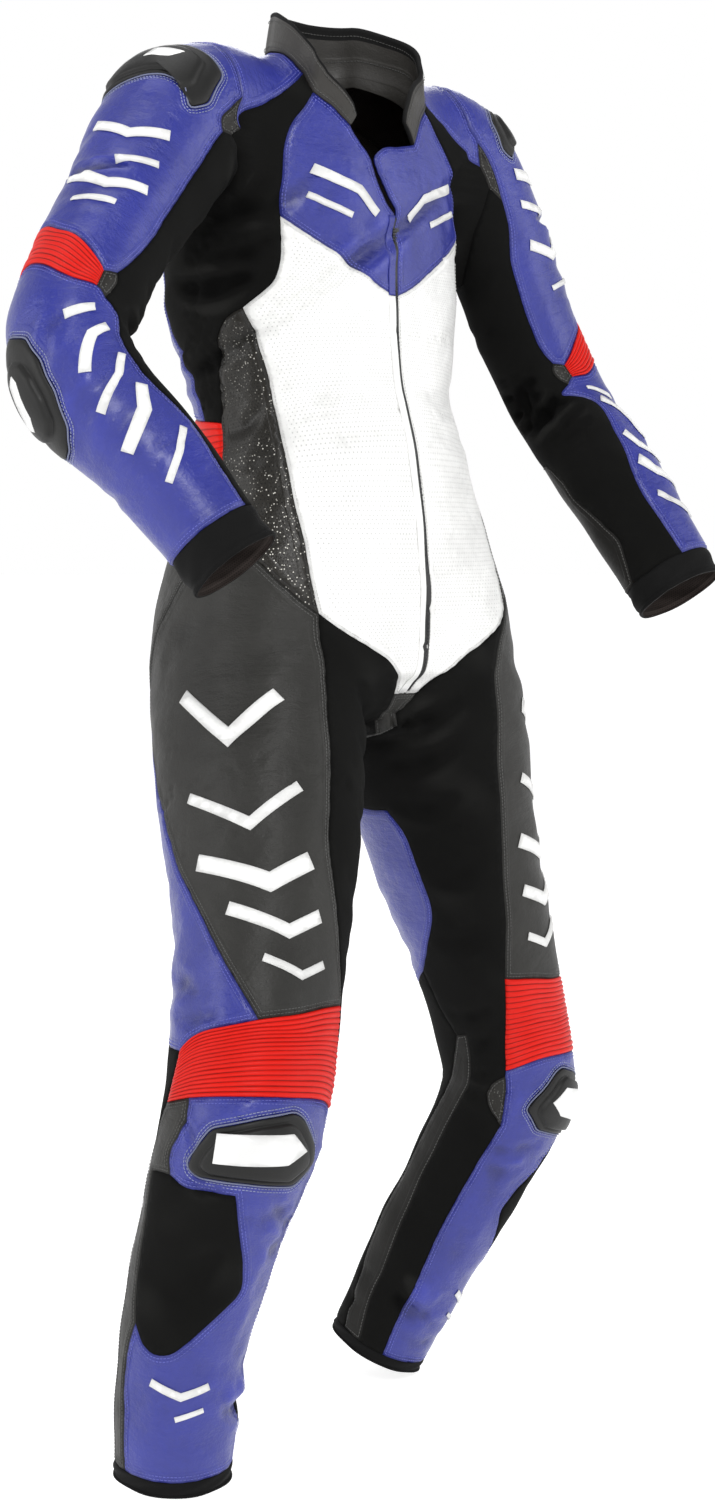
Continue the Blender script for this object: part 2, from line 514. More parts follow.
# armour set into a panel: (limb, outline of degrees round and station)
ARMOUR_OUTLINES = {
    "knee_armour": ("leg", [(-76, 5.38), (-74, 5.27), (-64, 5.05), (-33, 4.90), (-7, 4.80),
                            (2, 4.83), (23, 5.02), (29, 5.14), (10, 5.32), (-31, 5.36),
                            (-67, 5.42)]),
    "shoulder_armour": ("arm", [(-21, 1.26), (-29, 0.98), (-45, 0.93), (-75, 0.90), (-110, 0.92),
                                (-140, 1.02), (-148, 1.20), (-120, 1.27), (-84, 1.25),
                                (-60, 1.23), (-42, 1.25), (-30, 1.38)]),
    "elbow_armour": ("arm", [(-115, 4.07), (-88, 4.21), (-74, 4.47), (-69, 4.79), (-78, 5.04),
                             (-100, 5.11), (-122, 5.10), (-140, 4.95), (-145, 4.55),
                             (-137, 4.20)]),
}
LEFT_ARMOUR_DOWN = {"shoulder_armour": 0.12}


def side_rows(host, rows, side):
    """A limb's name and its coordinates in radians; the left is the mirror image, turned."""
    table = np.array(rows, float).reshape(-1, 2)
    angle, station = np.radians(table[:, 0]), table[:, 1]
    if side == "L":
        angle = angle if host == "hips" else -angle
        station = -station if host == "hips" else station
        if host in LEFT_TURN:
            turn = np.array(LEFT_TURN[host], float)
            turn = np.radians(np.interp(station, turn[:, 0], turn[:, 1]))
            angle = angle + (turn if host == "arm" else turn * (0.5 + 0.5 * np.cos(angle)))
    return (host if host in LIMBS else host + "_" + side), angle, station


def corner(name, side):
    """A seam corner: its point in space and the direction straight out of the cloth there."""
    if side == "L" and name in LEFT_CORNERS:
        host, degrees, station = LEFT_CORNERS[name]
        angle, station = np.array([math.radians(degrees)]), np.array([station])
    else:
        host, degrees, station = CORNERS[name]
        host, angle, station = side_rows(host, [(degrees, station)], side)
    point = surface(host, station, angle)
    return point[0], normals(point, host)[0]


# seams over strongly bent cloth, sampled closer
CLOSE_SEAMS = ("seat_inner", "crotch_side", "yoke_rear", "yoke_front", "hip_front", "strip_inner")
CLOSE = 0.5


def sample_curve(host, angle, station, spacing=1.0):
    """Evenly spaced coordinates along a smooth curve through rows, finer round than along."""
    limb = LIMBS[host]
    angle = np.unwrap(angle)
    reach = limb.radius(station, angle)
    hop = np.hypot(np.diff(angle) * reach[1:], np.diff(limb.along_at(station)))
    t = np.concatenate([[0.0], np.cumsum(np.maximum(hop, 1e-6))])
    fine = np.linspace(0, t[-1], 12 * len(t))
    curve = smooth_rows(t, np.stack([angle, station], 1), fine)
    reach = limb.radius(curve[:, 1], curve[:, 0])
    cost = np.hypot(np.diff(curve[:, 0]) * reach[1:] / STEP_ROUND,
                    np.diff(limb.along_at(curve[:, 1])) / STEP_ALONG)
    total = np.concatenate([[0.0], np.cumsum(cost)])
    count = max(1, int(math.ceil(total[-1] / spacing - 0.25)))
    even = np.interp(np.linspace(0, total[-1], count + 1), total, fine)
    found = smooth_rows(t, np.stack([angle, station], 1), even)
    return found[1:-1, 0], found[1:-1, 1]


class Curve:
    """A sampled seam: its end corners' names, its points and the directions out of the cloth."""

    def __init__(self, start, end, points, outs):
        self.start, self.end, self.points, self.outs = start, end, points, outs

    def turned(self):
        return Curve(self.end, self.start, self.points[::-1], self.outs[::-1])


def draw_seam(corners, start, end, host, angle, station, spacing=1.0):
    first, last = corners[start], corners[end]
    ends = np.stack([first[0], last[0]])
    end_station, end_angle, _ = LIMBS[host].locate(ends)
    angle = np.concatenate([end_angle[:1], angle, end_angle[1:]])
    station = np.concatenate([end_station[:1], station, end_station[1:]])
    inner_angle, inner_station = sample_curve(host, angle, station, spacing)
    points, outs = ends, np.stack([first[1], last[1]])
    if len(inner_angle):
        inner = surface(host, inner_station, inner_angle)
        points = np.concatenate([ends[:1], inner, ends[1:]])
        outs = np.concatenate([outs[:1], normals(inner, host), outs[1:]])
    return Curve(start, end, points, outs)


def draw_all_seams():
    corners, seams = {}, {}
    for side in "RL":
        for name in CORNERS:
            corners[name + "_" + side] = corner(name, side)
    for side in "RL":
        for name, (start, end, host, rows) in SEAMS.items():
            if side == "L" and name in LEFT_SEAMS:
                _, _, host, rows = LEFT_SEAMS[name]
                table = np.array(rows, float).reshape(-1, 2)
                where, angle, station = host, np.radians(table[:, 0]), table[:, 1]
            else:
                where, angle, station = side_rows(host, rows, side)
            spacing = CLOSE if name in CLOSE_SEAMS else 1.0
            seams[name + "_" + side] = draw_seam(corners, start + "_" + side, end + "_" + side,
                                                 where, angle, station, spacing)
    for name, (end, host, rows) in MIDDLE_SEAMS.items():
        where, angle, station = side_rows(host, rows, "R")
        seams[name] = draw_seam(corners, end + "_R", end + "_L", where, angle, station)
    return seams


def chain(curves):
    """One closed ring of points and outward directions from seams listed in order."""
    first = curves[0]
    if first.end not in (curves[1].start, curves[1].end):
        first = first.turned()
    ring, at = [first], first.end
    for curve in curves[1:]:
        if curve.start != at:
            curve = curve.turned()
        if curve.start != at:
            raise ValueError("seams do not meet: " + at + " " + curve.start)
        ring.append(curve)
        at = curve.end
    if at != first.start:
        raise ValueError("the loop stays open at " + at)
    points = np.concatenate([curve.points[:-1] for curve in ring])
    outs = np.concatenate([curve.outs[:-1] for curve in ring])
    return points, outs


def inset(points, outs, distance):
    """A ring moved towards its own inside, in the plane of the cloth, the same gap everywhere."""
    hop = np.roll(points, -1, axis=0) - points
    along = hop / np.maximum(np.linalg.norm(hop, axis=1), 1e-9)[:, None]
    left = np.cross(outs, along)
    left /= np.linalg.norm(left, axis=1)[:, None]
    before = np.cross(outs, np.roll(along, 1, axis=0))
    before /= np.linalg.norm(before, axis=1)[:, None]
    meet = 1 + (left * before).sum(1)
    return points + (left + before) / np.maximum(meet, 0.35)[:, None] * distance


def inside_ring(ring, points):
    """Which flat points lie inside a closed flat ring."""
    a, b = ring, np.roll(ring, -1, axis=0)
    y = points[:, 1:2]
    crosses = (a[:, 1] > y) != (b[:, 1] > y)
    rise = np.where(np.abs(b[:, 1] - a[:, 1]) < 1e-12, 1e-12, b[:, 1] - a[:, 1])
    x = a[:, 0] + (y - a[:, 1]) * (b[:, 0] - a[:, 0]) / rise
    return (crosses & (points[:, 0:1] < x)).sum(1) % 2 == 1


def distance_to_ring(ring, points):
    a, b = ring, np.roll(ring, -1, axis=0)
    run = b - a
    t = ((points[:, None] - a) * run).sum(2) / np.maximum((run**2).sum(1), 1e-12)
    foot = a + np.clip(t, 0, 1)[..., None] * run
    return np.linalg.norm(points[:, None] - foot, axis=2).min(1)


def triangulate(rings, extra, rows=()):
    """Triangles between the outer ring and its holes, over the rings' own points and extra ones."""
    points = np.concatenate(rings + ([extra] if len(extra) else []))
    edges, start = [], 0
    for ring in rings:
        count = len(ring)
        edges += [(start + k, start + (k + 1) % count) for k in range(count)]
        start += count
    edges += [(start + a, start + b) for a, b in rows]
    flat = [Vector((float(x), float(y))) for x, y in points]
    out, _, faces, origin, _, _ = delaunay_2d_cdt(flat, edges, [], 0, 1e-9)
    near = [source[0] if source else int(np.abs(points - np.array(at)).sum(1).argmin())
            for source, at in zip(origin, out)]
    faces = np.array(near)[np.array(faces)]
    faces = faces[(faces[:, 0] != faces[:, 1]) & (faces[:, 1] != faces[:, 2])
                  & (faces[:, 2] != faces[:, 0])]
    middle = points[faces].mean(1)
    keep = inside_ring(rings[0], middle)
    for hole in rings[1:]:
        keep &= ~inside_ring(hole, middle)
    return faces[keep]


def lattice(rings, step):
    """Points of an even triangular grid inside the outer ring, well clear of every ring."""
    low, high = rings[0].min(0), rings[0].max(0)
    columns = np.arange(low[0] + step / 2, high[0], step)
    lines = np.arange(low[1] + step / 2, high[1], step * 0.866)
    x, y = np.meshgrid(columns, lines)
    x = x + (np.arange(len(lines)) % 2)[:, None] * step / 2
    points = np.stack([x.ravel(), y.ravel()], 1)
    if not len(points):
        return np.zeros((0, 2))
    points = points[inside_ring(rings[0], points)]
    for k, ring in enumerate(rings):
        if len(points) and k:
            points = points[~inside_ring(ring, points)]
        if len(points):
            points = points[distance_to_ring(ring, points) > 0.58 * step]
    return points


class Patch:
    """A host limb's surface as a flat map: angle times a mean reach, and distance along."""

    def __init__(self, host, points):
        self.host, self.limb = host, LIMBS[host]
        _, angle, reach = self.limb.locate(points)
        self.reach = reach.mean()
        self.start = angle[0]

    def flat(self, points):
        station, angle, _ = self.limb.locate(points)
        angle = np.unwrap(np.concatenate([[self.start], angle]))[1:]
        return np.stack([angle * self.reach, self.limb.along_at(station)], 1)

    def lift(self, flat):
        station = self.limb.station_at(flat[:, 1])
        points = surface(self.host, station, flat[:, 0] / self.reach)
        return points, normals(points, self.host)


def face_outwards(faces, points, outs):
    a, b, c = (points[faces[:, k]] for k in range(3))
    facing = (np.cross(b - a, c - a) * outs[faces[:, 0]]).sum()
    return faces if facing > 0 else faces[:, ::-1]


def wall_ring(points, outs, distance):
    """Inset a ring towards its inside, whichever way round it runs."""
    middle = points.mean(0)
    swing = np.cross(points - middle, np.roll(points, -1, axis=0) - middle).sum(0)
    spin = (swing * outs.mean(0)).sum()
    return inset(points, outs, distance if spin > 0 else -distance)


# ---- folds: soft troughs and ridges laid over the panels ----
# limb, then degrees round and station at the start, middle and end, depth and half width in mm;
# a negative depth stands up as a ridge.  Given for the wearer's right, mirrored for the left.
FOLDS = [
    ("arm", 20, 1.20, 55, 1.32, 95, 1.52, 3.0, 9.0),
    ("arm", 38, 1.42, 70, 1.55, 110, 1.66, 2.2, 8.0),
    ("arm", 95, 1.30, 128, 1.42, 158, 1.36, 2.6, 9.0),
    ("arm", 118, 1.62, 142, 1.76, 168, 1.80, 1.8, 8.0),
    ("arm", -46, 2.02, -88, 2.07, -126, 1.97, 5.0, 5.0),
    ("arm", -35, 2.34, -80, 2.40, -120, 2.28, 1.0, 7.0),
    ("arm", -95, 1.62, -130, 1.72, -160, 1.66, 0.9, 7.0),
    ("arm", -30, 2.75, -58, 2.60, -92, 2.66, 0.9, 6.0),
    ("arm", 22, 3.02, 62, 3.16, 105, 3.10, 1.9, 6.0),
    ("arm", 30, 3.34, 70, 3.42, 118, 3.34, 2.6, 7.0),
    ("arm", 14, 3.62, 58, 3.70, 112, 3.62, 3.4, 7.5),
    ("arm", 10, 3.92, 60, 3.98, 116, 3.90, 3.6, 8.0),
    ("arm", 22, 4.20, 66, 4.30, 110, 4.22, 2.4, 7.0),
    ("arm", 34, 4.56, 72, 4.60, 104, 4.52, 1.6, 6.0),
    ("arm", 120, 3.72, 146, 3.86, 168, 3.80, 1.5, 6.0),
    ("arm", 40, 2.66, 78, 2.74, 112, 2.64, 1.2, 7.0),
    ("arm", 26, 2.20, 66, 2.34, 110, 2.20, 1.0, 9.0),
    ("arm", -22, 4.02, -58, 4.20, -70, 4.62, 1.6, 7.0),
    ("arm", 2, 4.40, -26, 4.62, -40, 5.02, -1.4, 10.0),
    ("arm", -14, 4.96, -52, 5.06, -96, 5.26, 1.5, 7.0),
    ("arm", 6, 5.28, -38, 5.34, -80, 5.44, 1.1, 6.0),
    ("arm", 16, 5.62, -20, 5.56, -56, 5.66, 0.9, 5.0),
    ("arm", -92, 5.64, -128, 5.54, -158, 5.62, 0.9, 5.5),
    ("arm", -150, 4.12, -168, 4.42, -160, 4.80, 0.9, 6.0),
    ("torso", -48, 1.352, -56, 1.322, -74, 1.296, 2.0, 9.0),
    ("torso", -66, 1.338, -74, 1.306, -88, 1.286, 2.4, 9.0),
    ("torso", -62, 1.286, -70, 1.262, -84, 1.252, 1.6, 8.0),
    ("torso", -66, 1.240, -82, 1.222, -100, 1.228, 5.0, 9.0),
    ("torso", -34, 1.352, -41, 1.332, -47, 1.300, 0.9, 8.0),
    ("torso", -16, 1.330, -20, 1.300, -20, 1.262, 0.7, 9.0),
    ("torso", -58, 1.180, -42, 1.164, -20, 1.160, 1.2, 10.0),
    ("torso", -62, 1.126, -44, 1.104, -16, 1.102, 1.6, 10.0),
    ("torso", -60, 1.064, -40, 1.056, -14, 1.066, 1.4, 9.0),
    ("torso", -56, 1.010, -38, 0.996, -18, 1.004, 1.0, 9.0),
    ("torso", -30, 1.232, -33, 1.200, -30, 1.168, 0.8, 12.0),
    ("torso", -44, 0.952, -28, 0.928, -12, 0.916, 1.2, 9.0),
    ("torso", -20, 0.880, -14, 0.858, -7, 0.844, 1.3, 8.0),
    ("torso", -74, 1.150, -80, 1.126, -88, 1.118, 1.4, 6.5),
    ("torso", -70, 1.100, -79, 1.082, -90, 1.080, 1.7, 6.5),
    ("torso", -67, 1.058, -77, 1.044, -88, 1.050, 1.5, 6.0),
    ("torso", -64, 1.020, -74, 1.004, -86, 1.008, 1.3, 6.5),
    ("torso", -62, 0.982, -70, 0.972, -82, 0.984, 1.0, 6.0),
    ("torso", -98, 1.180, -122, 1.164, -150, 1.170, 1.4, 10.0),
    ("torso", -104, 1.240, -128, 1.222, -152, 1.236, 1.2, 11.0),
    ("torso", -112, 1.300, -132, 1.286, -152, 1.300, 1.0, 11.0),
    ("torso", -128, 1.360, -142, 1.340, -160, 1.346, 0.9, 10.0),
    ("torso", -168, 1.190, -150, 1.176, -128, 1.144, 1.0, 9.0),
    ("leg", -70, 0.30, -98, 0.55, -122, 0.95, 1.2, 12.0),
    ("leg", -20, 0.70, -46, 0.92, -78, 1.02, 1.4, 11.0),
    ("leg", -26, 1.20, -56, 1.42, -92, 1.52, 1.1, 11.0),
    ("leg", -40, 2.02, -66, 2.20, -92, 2.16, 0.8, 12.0),
    ("leg", -20, 2.62, -50, 2.78, -84, 2.66, 0.8, 11.0),
    ("leg", -8, 3.12, -34, 3.26, -62, 3.40, 0.9, 9.0),
    ("leg", 8, 1.02, 34, 1.16, 66, 1.22, 2.2, 9.0),
    ("leg", 14, 1.34, 40, 1.46, 74, 1.46, 1.9, 9.0),
    ("leg", 20, 1.72, 46, 1.80, 78, 1.72, 1.3, 9.0),
    ("leg", 12, 2.20, 34, 2.40, 60, 2.40, 1.1, 10.0),
    ("leg", 30, 3.00, 52, 3.12, 82, 3.04, 1.0, 9.0),
    ("leg", 48, 3.84, 70, 3.94, 96, 3.88, 1.4, 7.0),
    ("leg", 54, 4.20, 66, 4.32, 74, 4.44, 1.3, 6.0),
    ("leg", 58, 4.66, 74, 4.74, 84, 4.66, 1.5, 6.0),
    ("leg", 70, 5.00, 80, 5.10, 90, 5.04, 1.2, 6.0),
    ("leg", 150, 3.92, 178, 4.02, -156, 4.12, 2.4, 8.0),
    ("leg", 140, 4.30, 176, 4.40, -150, 4.48, 3.0, 8.0),
    ("leg", 136, 4.74, 174, 4.82, -146, 4.88, 3.2, 8.0),
    ("leg", 140, 5.14, 176, 5.22, -148, 5.24, 2.2, 8.0),
    ("leg", 150, 5.62, 178, 5.74, -154, 5.70, 1.4, 8.0),
    ("leg", -112, 2.86, -140, 3.02, -166, 2.96, 1.2, 10.0),
    ("leg", -96, 3.46, -128, 3.58, -160, 3.50, 1.6, 9.0),
    ("leg", -130, 2.20, -152, 2.30, -172, 2.20, 1.1, 10.0),
    ("leg", 118, 2.52, 142, 2.66, 168, 2.60, 1.3, 9.0),
    ("leg", 110, 3.10, 136, 3.26, 164, 3.22, 1.3, 8.0),
    ("leg", 30, 4.78, 38, 5.02, 40, 5.34, -1.5, 6.0),
    ("leg", 22, 5.46, -6, 5.62, -30, 5.60, 1.6, 7.0),
    ("leg", -84, 4.92, -60, 4.86, -40, 4.80, 0.9, 5.0),
    ("leg", 40, 5.52, 26, 5.94, 14, 6.42, 1.6, 9.0),
    ("leg", 36, 6.12, 22, 6.62, 12, 7.10, 1.1, 8.0),
    ("leg", 30, 7.36, 4, 7.48, -22, 7.42, 0.9, 8.0),
    ("leg", 18, 7.96, -20, 8.10, -52, 8.02, 0.8, 7.0),
    ("leg", 62, 7.60, 32, 7.74, 0, 7.70, 3.0, 8.0),
    ("leg", 60, 7.34, 30, 7.44, 2, 7.40, -2.2, 10.0),
    ("leg", -6, 5.44, 20, 5.60, 44, 5.68, 2.2, 6.0),
    ("leg", 2, 5.74, 24, 5.88, 44, 5.86, 1.6, 6.0),
    ("leg", -94, 5.00, -80, 5.14, -68, 5.34, 1.8, 5.0),
    ("leg", -86, 5.36, -62, 5.46, -40, 5.44, 1.7, 5.0),
    ("leg", -118, 3.86, -96, 3.96, -70, 3.90, 1.8, 7.0),
    ("leg", -128, 3.30, -112, 3.52, -92, 3.70, 1.8, 8.0),
    ("leg", -60, 7.40, -82, 7.62, -96, 7.92, 0.8, 8.0),
    ("leg", -30, 5.92, -50, 6.20, -72, 6.42, 0.8, 9.0),
    ("leg", -34, 7.02, -14, 7.14, 6, 7.10, 0.7, 8.0),
    ("hips", 125, -0.50, 140, -0.62, 152, -0.86, 1.5, 9.0),
    ("hips", 118, -0.30, 128, -0.40, 142, -0.46, 1.7, 8.0),
    ("hips", 150, -1.10, 160, -0.80, 168, -0.46, 1.0, 12.0),
]
# folds of the left side alone, in its own coordinates
FOLDS_LEFT = [
    ("arm_L", -60, 3.36, -92, 3.46, -128, 3.40, 6.0, 7.0),
    ("arm_L", -64, 3.58, -96, 3.68, -132, 3.64, 7.0, 8.0),
    ("arm_L", -54, 3.88, -92, 3.96, -126, 3.88, 7.0, 8.5),
    ("arm_L", -50, 4.10, -88, 4.18, -124, 4.14, 4.0, 7.0),
    ("arm_L", -56, 3.74, -90, 3.82, -126, 3.78, -3.6, 6.0),
    ("arm_L", -56, 3.20, -86, 3.26, -118, 3.18, 1.8, 6.0),
    ("arm_L", -44, 4.36, -80, 4.46, -112, 4.42, 1.7, 6.0),
    ("leg_L", -34, 8.06, -8, 8.20, 20, 8.12, 1.2, 5.0),
    ("leg_L", -30, 8.32, -6, 8.40, 16, 8.34, 1.0, 4.5),
    ("leg_L", -20, 7.70, 8, 7.84, 34, 7.76, 1.1, 6.0),
    ("leg_L", -88, 7.92, -108, 8.06, -130, 7.98, 1.4, 6.0),
    ("leg_L", -86, 7.42, -104, 7.60, -126, 7.54, 1.0, 7.0),
]


class Fold:
    """One fold: points and outward directions along it, its depth and half width."""

    def __init__(self, host, angle, station, depth, width):
        limb = LIMBS[host]
        angle = np.unwrap(angle)
        share = np.linspace(0, 1, 13)
        stay = np.array([0.0, 0.5, 1.0])
        found = smooth_rows(stay, np.stack([angle, station], 1), share)
        self.points = surface(host, found[:, 1], found[:, 0])
        self.outs = normals(self.points, host)
        self.depth, self.width = depth, width
        run = np.linalg.norm(np.diff(self.points, axis=0), axis=1)
        self.run = np.concatenate([[0.0], np.cumsum(run)])
        self.low = self.points.min(0) - 3.4 * width
        self.high = self.points.max(0) + 3.4 * width

    def rise(self, points, outs):
        """Sinks by depth on the line, rises by a third of it beside it, and dies out at both ends."""
        a, b = self.points[:-1], self.points[1:]
        line = b - a
        t = ((points[:, None] - a) * line).sum(2) / (line**2).sum(1)
        t = np.clip(t, 0, 1)
        away = np.linalg.norm(points[:, None] - a - t[..., None] * line, axis=2)
        nearest = away.argmin(1)
        rows = np.arange(len(points))
        share = (self.run[nearest] + t[rows, nearest] * np.diff(self.run)[nearest]) / self.run[-1]
        wide = self.width * (0.65 + 0.55 * np.sin(math.pi * share))
        gap = away[rows, nearest] / wide
        taper = np.sin(math.pi * np.clip(share, 0, 1)) ** 0.7 * (0.82 + 0.18 * np.sin(17 * share))
        facing = np.clip((outs * self.outs[nearest]).sum(1) * 2 - 0.4, 0, 1)
        side = 0.34 * np.exp(-((gap - 1.75) / 0.75) ** 2)
        return self.depth * taper * facing * (side - np.exp(-gap**2))


def draw_folds():
    folds = []
    for host, a0, s0, a1, s1, a2, s2, depth, width in FOLDS:
        for side in "RL":
            if side == "L" and host == "arm" and 3.0 <= s1 <= 4.35 and 0 < a1 < 120:
                continue
            where, angle, station = side_rows(host, [(a0, s0), (a1, s1), (a2, s2)], side)
            change = 1.0 if side == "R" else 0.85
            folds.append(Fold(where, angle, station, depth * change / 1000, width / 1000))
    for host, a0, s0, a1, s1, a2, s2, depth, width in FOLDS_LEFT:
        folds.append(Fold(host, np.radians([a0, a1, a2]), np.array([s0, s1, s2]), depth / 1000,
                          width / 1000))
    return folds


def fold_rise(points, outs):
    """The sum of all folds at each point, with a slow unevenness of the hide under them."""
    settings = bpy.context.scene.race_suit
    total = np.zeros(len(points))
    for fold in STORE["folds"]:
        near = np.flatnonzero(((points > fold.low) & (points < fold.high)).all(1))
        if len(near):
            total[near] += fold.rise(points[near], outs[near])
    x, y, z = points.T
    uneven = (np.sin(41 * x + 23 * z + 1.1) * np.sin(37 * y - 19 * z + 0.4)
              + 0.6 * np.sin(83 * z + 31 * x) * np.sin(61 * y + 47 * x + 2.0))
    strength = settings.fold_strength
    return np.clip(total * strength, -0.0120, 0.0065) + 0.0005 * uneven * strength


# ---- panels ----
STORE = {}


def store():
    """Seams and folds are worked out once and shared by every operator."""
    if "seams" not in STORE:
        STORE["seams"] = draw_all_seams()
        STORE["folds"] = draw_folds()
        STORE["stitches"] = []
    return STORE


def mesh_object(name, verts, faces, uv, edge, inner_count, materials, extra=None):
    """A piece from whole arrays: its faces, a map in metres, and its distance to the seam."""
    mesh = bpy.data.meshes.new(name)
    faces = np.asarray(faces, np.int32)
    width = faces.shape[1]
    mesh.vertices.add(len(verts))
    mesh.vertices.foreach_set("co", (verts - HELD_AT).astype(np.float32).ravel())
    mesh.loops.add(faces.size)
    mesh.loops.foreach_set("vertex_index", faces.ravel())
    mesh.polygons.add(len(faces))
    mesh.polygons.foreach_set("loop_start", np.arange(len(faces), dtype=np.int32) * width)
    mesh.polygons.foreach_set("loop_total", np.full(len(faces), width, np.int32))
    mesh.update(calc_edges=True)
    layer = mesh.uv_layers.new(name="UVMap")
    layer.data.foreach_set("uv", uv[faces.ravel()].astype(np.float32).ravel())
    for key, values in (("edge", edge), *(extra or {}).items()):
        attribute = mesh.attributes.new(key, "FLOAT", "POINT")
        attribute.data.foreach_set("value", np.asarray(values, np.float32))
    for material in materials:
        mesh.materials.append(material)
    slot = np.zeros(len(faces), np.int32)
    if inner_count:
        slot[-inner_count:] = len(materials) - 1
    mesh.polygons.foreach_set("material_index", slot)
    mesh.polygons.foreach_set("use_smooth", np.ones(len(faces), bool))
    mesh.validate()
    obj = bpy.data.objects.new(name, mesh)
    bpy.context.scene.collection.objects.link(obj)
    return obj


def rim_edges(faces):
    """Edges that only one triangle has, each in the direction that its triangle runs."""
    edges = np.concatenate([faces[:, [0, 1]], faces[:, [1, 2]], faces[:, [2, 0]]])
    code = edges[:, 0].astype(np.int64) * (faces.max() + 1) + edges[:, 1]
    back = edges[:, 1].astype(np.int64) * (faces.max() + 1) + edges[:, 0]
    return edges[~np.isin(code, back)]


def shell(name, outer, inner, faces, uv, edge, materials, extra=None):
    """A closed wall: the outer skin, a rim round every open edge, and the inner skin turned over."""
    count = len(outer)
    rim = rim_edges(faces)
    sides = np.concatenate([np.stack([rim[:, 1], rim[:, 0], rim[:, 0] + count], 1),
                            np.stack([rim[:, 1], rim[:, 0] + count, rim[:, 1] + count], 1)])
    back = faces[:, [0, 2, 1]] + count
    extra = {key: np.tile(values, 2) for key, values in (extra or {}).items()}
    return mesh_object(name, np.concatenate([outer, inner]), np.concatenate([faces, sides, back]),
                       np.tile(uv, (2, 1)), np.tile(edge, 2), len(back), materials, extra)


def panel_skin(host, ring, outs, holes):
    """A panel's outer skin: its ring at the seams, moved in by half a gap, and a grid inside it."""
    patch = Patch(host, ring)
    rings = [patch.flat(ring)] + [patch.flat(points) for points, _ in holes]
    around = [(ring, outs)] + list(holes)
    moved = [wall_ring(points, out, SEAM_GAP / 2 if k == 0 else -SEAM_GAP / 2)
             for k, (points, out) in enumerate(around)]
    bulk = lattice(rings, STEP_ROUND)
    faces = triangulate(rings, bulk)
    points, bulk_outs = patch.lift(bulk)
    outer = np.concatenate(moved + [points])
    all_outs = np.concatenate([out for _, out in around] + [bulk_outs])
    flat = np.concatenate(rings + [bulk])
    edge = np.zeros(len(flat))
    start = sum(len(each) for each in rings)
    edge[start:] = np.min([distance_to_ring(each, bulk) for each in rings], axis=0)
    return patch, outer, all_outs, face_outwards(faces, outer, all_outs), flat, edge


def pucker(flat, edge):
    """Small waves that the thread draws in beside a seam; the skin rolls down at the seam itself."""
    wave = (np.sin(310 * flat[:, 0] + 2.1 * np.sin(90 * flat[:, 1]))
            * np.sin(270 * flat[:, 1] + 1.7 * np.sin(70 * flat[:, 0])))
    return 0.00048 * wave * np.exp(-edge / 0.011) - 0.00055 * np.exp(-(edge / 0.0026) ** 2)


def cloth_panel(name, host, ring, outs, holes, thick, materials, puckers=1.0):
    patch, outer, all_outs, faces, flat, edge = panel_skin(host, ring, outs, holes)
    rise = fold_rise(outer, all_outs)
    shaped = outer + all_outs * rise[:, None]
    inner = shaped - all_outs * (thick * 1.35)
    shaped = shaped + all_outs * (puckers * pucker(flat, edge))[:, None]
    obj = shell(name, shaped, inner, faces, flat, edge, materials, {"dip": -rise / 0.006})
    area = triangle_area(shaped, faces)
    span = np.ptp(flat, axis=0)
    declare_sheet(obj, span, area)
    return obj, patch


def triangle_area(points, faces):
    a, b, c = (points[faces[:, k]] for k in range(3))
    return float(np.linalg.norm(np.cross(b - a, c - a), axis=1).sum() / 2)


def declare_sheet(obj, span, area):
    """The piece's flat cut: a rectangle round it, at most three times the leather's own area."""
    width, length = float(span[0]), float(span[1])
    scale = math.sqrt(max(1.0, area / (width * length * 0.995)))
    width, length = width * scale, length * scale
    shrink = math.sqrt(min(1.0, area / (0.32 * width * length)))
    STORE.setdefault("cut", {})[obj.name] = (width * shrink, length * shrink, area)


def rib_grid(seams, host, top_names, low_names, left_name, right_name, rows, columns):
    """A four-sided patch between seams, a blend of its sides: top to low, and side to side."""
    top, low = joined(seams, top_names), joined(seams, low_names)
    left, right = seams[left_name].points, seams[right_name].points
    patch = Patch(host, np.concatenate([top, low]))
    top, low, left, right = (patch.flat(points) for points in (top, low, left, right))
    if np.linalg.norm(top[0] - low[0]) > np.linalg.norm(top[0] - low[-1]):
        low = low[::-1]
    ends = np.linalg.norm(np.stack([left[0], left[-1], right[0], right[-1]]) - top[0], axis=1)
    if ends[2:].min() < ends[:2].min():
        left, right = right, left
    if np.linalg.norm(left[0] - top[0]) > np.linalg.norm(left[-1] - top[0]):
        left = left[::-1]
    if np.linalg.norm(right[0] - top[-1]) > np.linalg.norm(right[-1] - top[-1]):
        right = right[::-1]
    s, w = np.linspace(0, 1, columns), np.linspace(0, 1, rows)
    t, b = along_curve(top, s)[None], along_curve(low, s)[None]
    l, r = along_curve(left, w)[:, None], along_curve(right, w)[:, None]
    s, w = s[None, :, None], w[:, None, None]
    flat = ((1 - w) * t + w * b + (1 - s) * l + s * r - (1 - s) * (1 - w) * top[0]
            - s * (1 - w) * top[-1] - (1 - s) * w * low[0] - s * w * low[-1])
    return patch, flat.reshape(-1, 2)


def joined(seams, names):
    parts, at = [], None
    for k, name in enumerate(names):
        curve = seams[name]
        if k == 0 and len(names) > 1:
            nxt = seams[names[1]]
            curve = curve if curve.end in (nxt.start, nxt.end) else curve.turned()
        elif at is not None and curve.start != at:
            curve = curve.turned()
        at = curve.end
        parts.append(curve.points if k == len(names) - 1 else curve.points[:-1])
    return np.concatenate(parts)


def along_curve(flat, share):
    """Points at shares of a flat curve's length."""
    run = np.concatenate([[0.0], np.cumsum(np.linalg.norm(np.diff(flat, axis=0), axis=1))])
    return np.stack([np.interp(share * run[-1], run, column) for column in flat.T], 1)


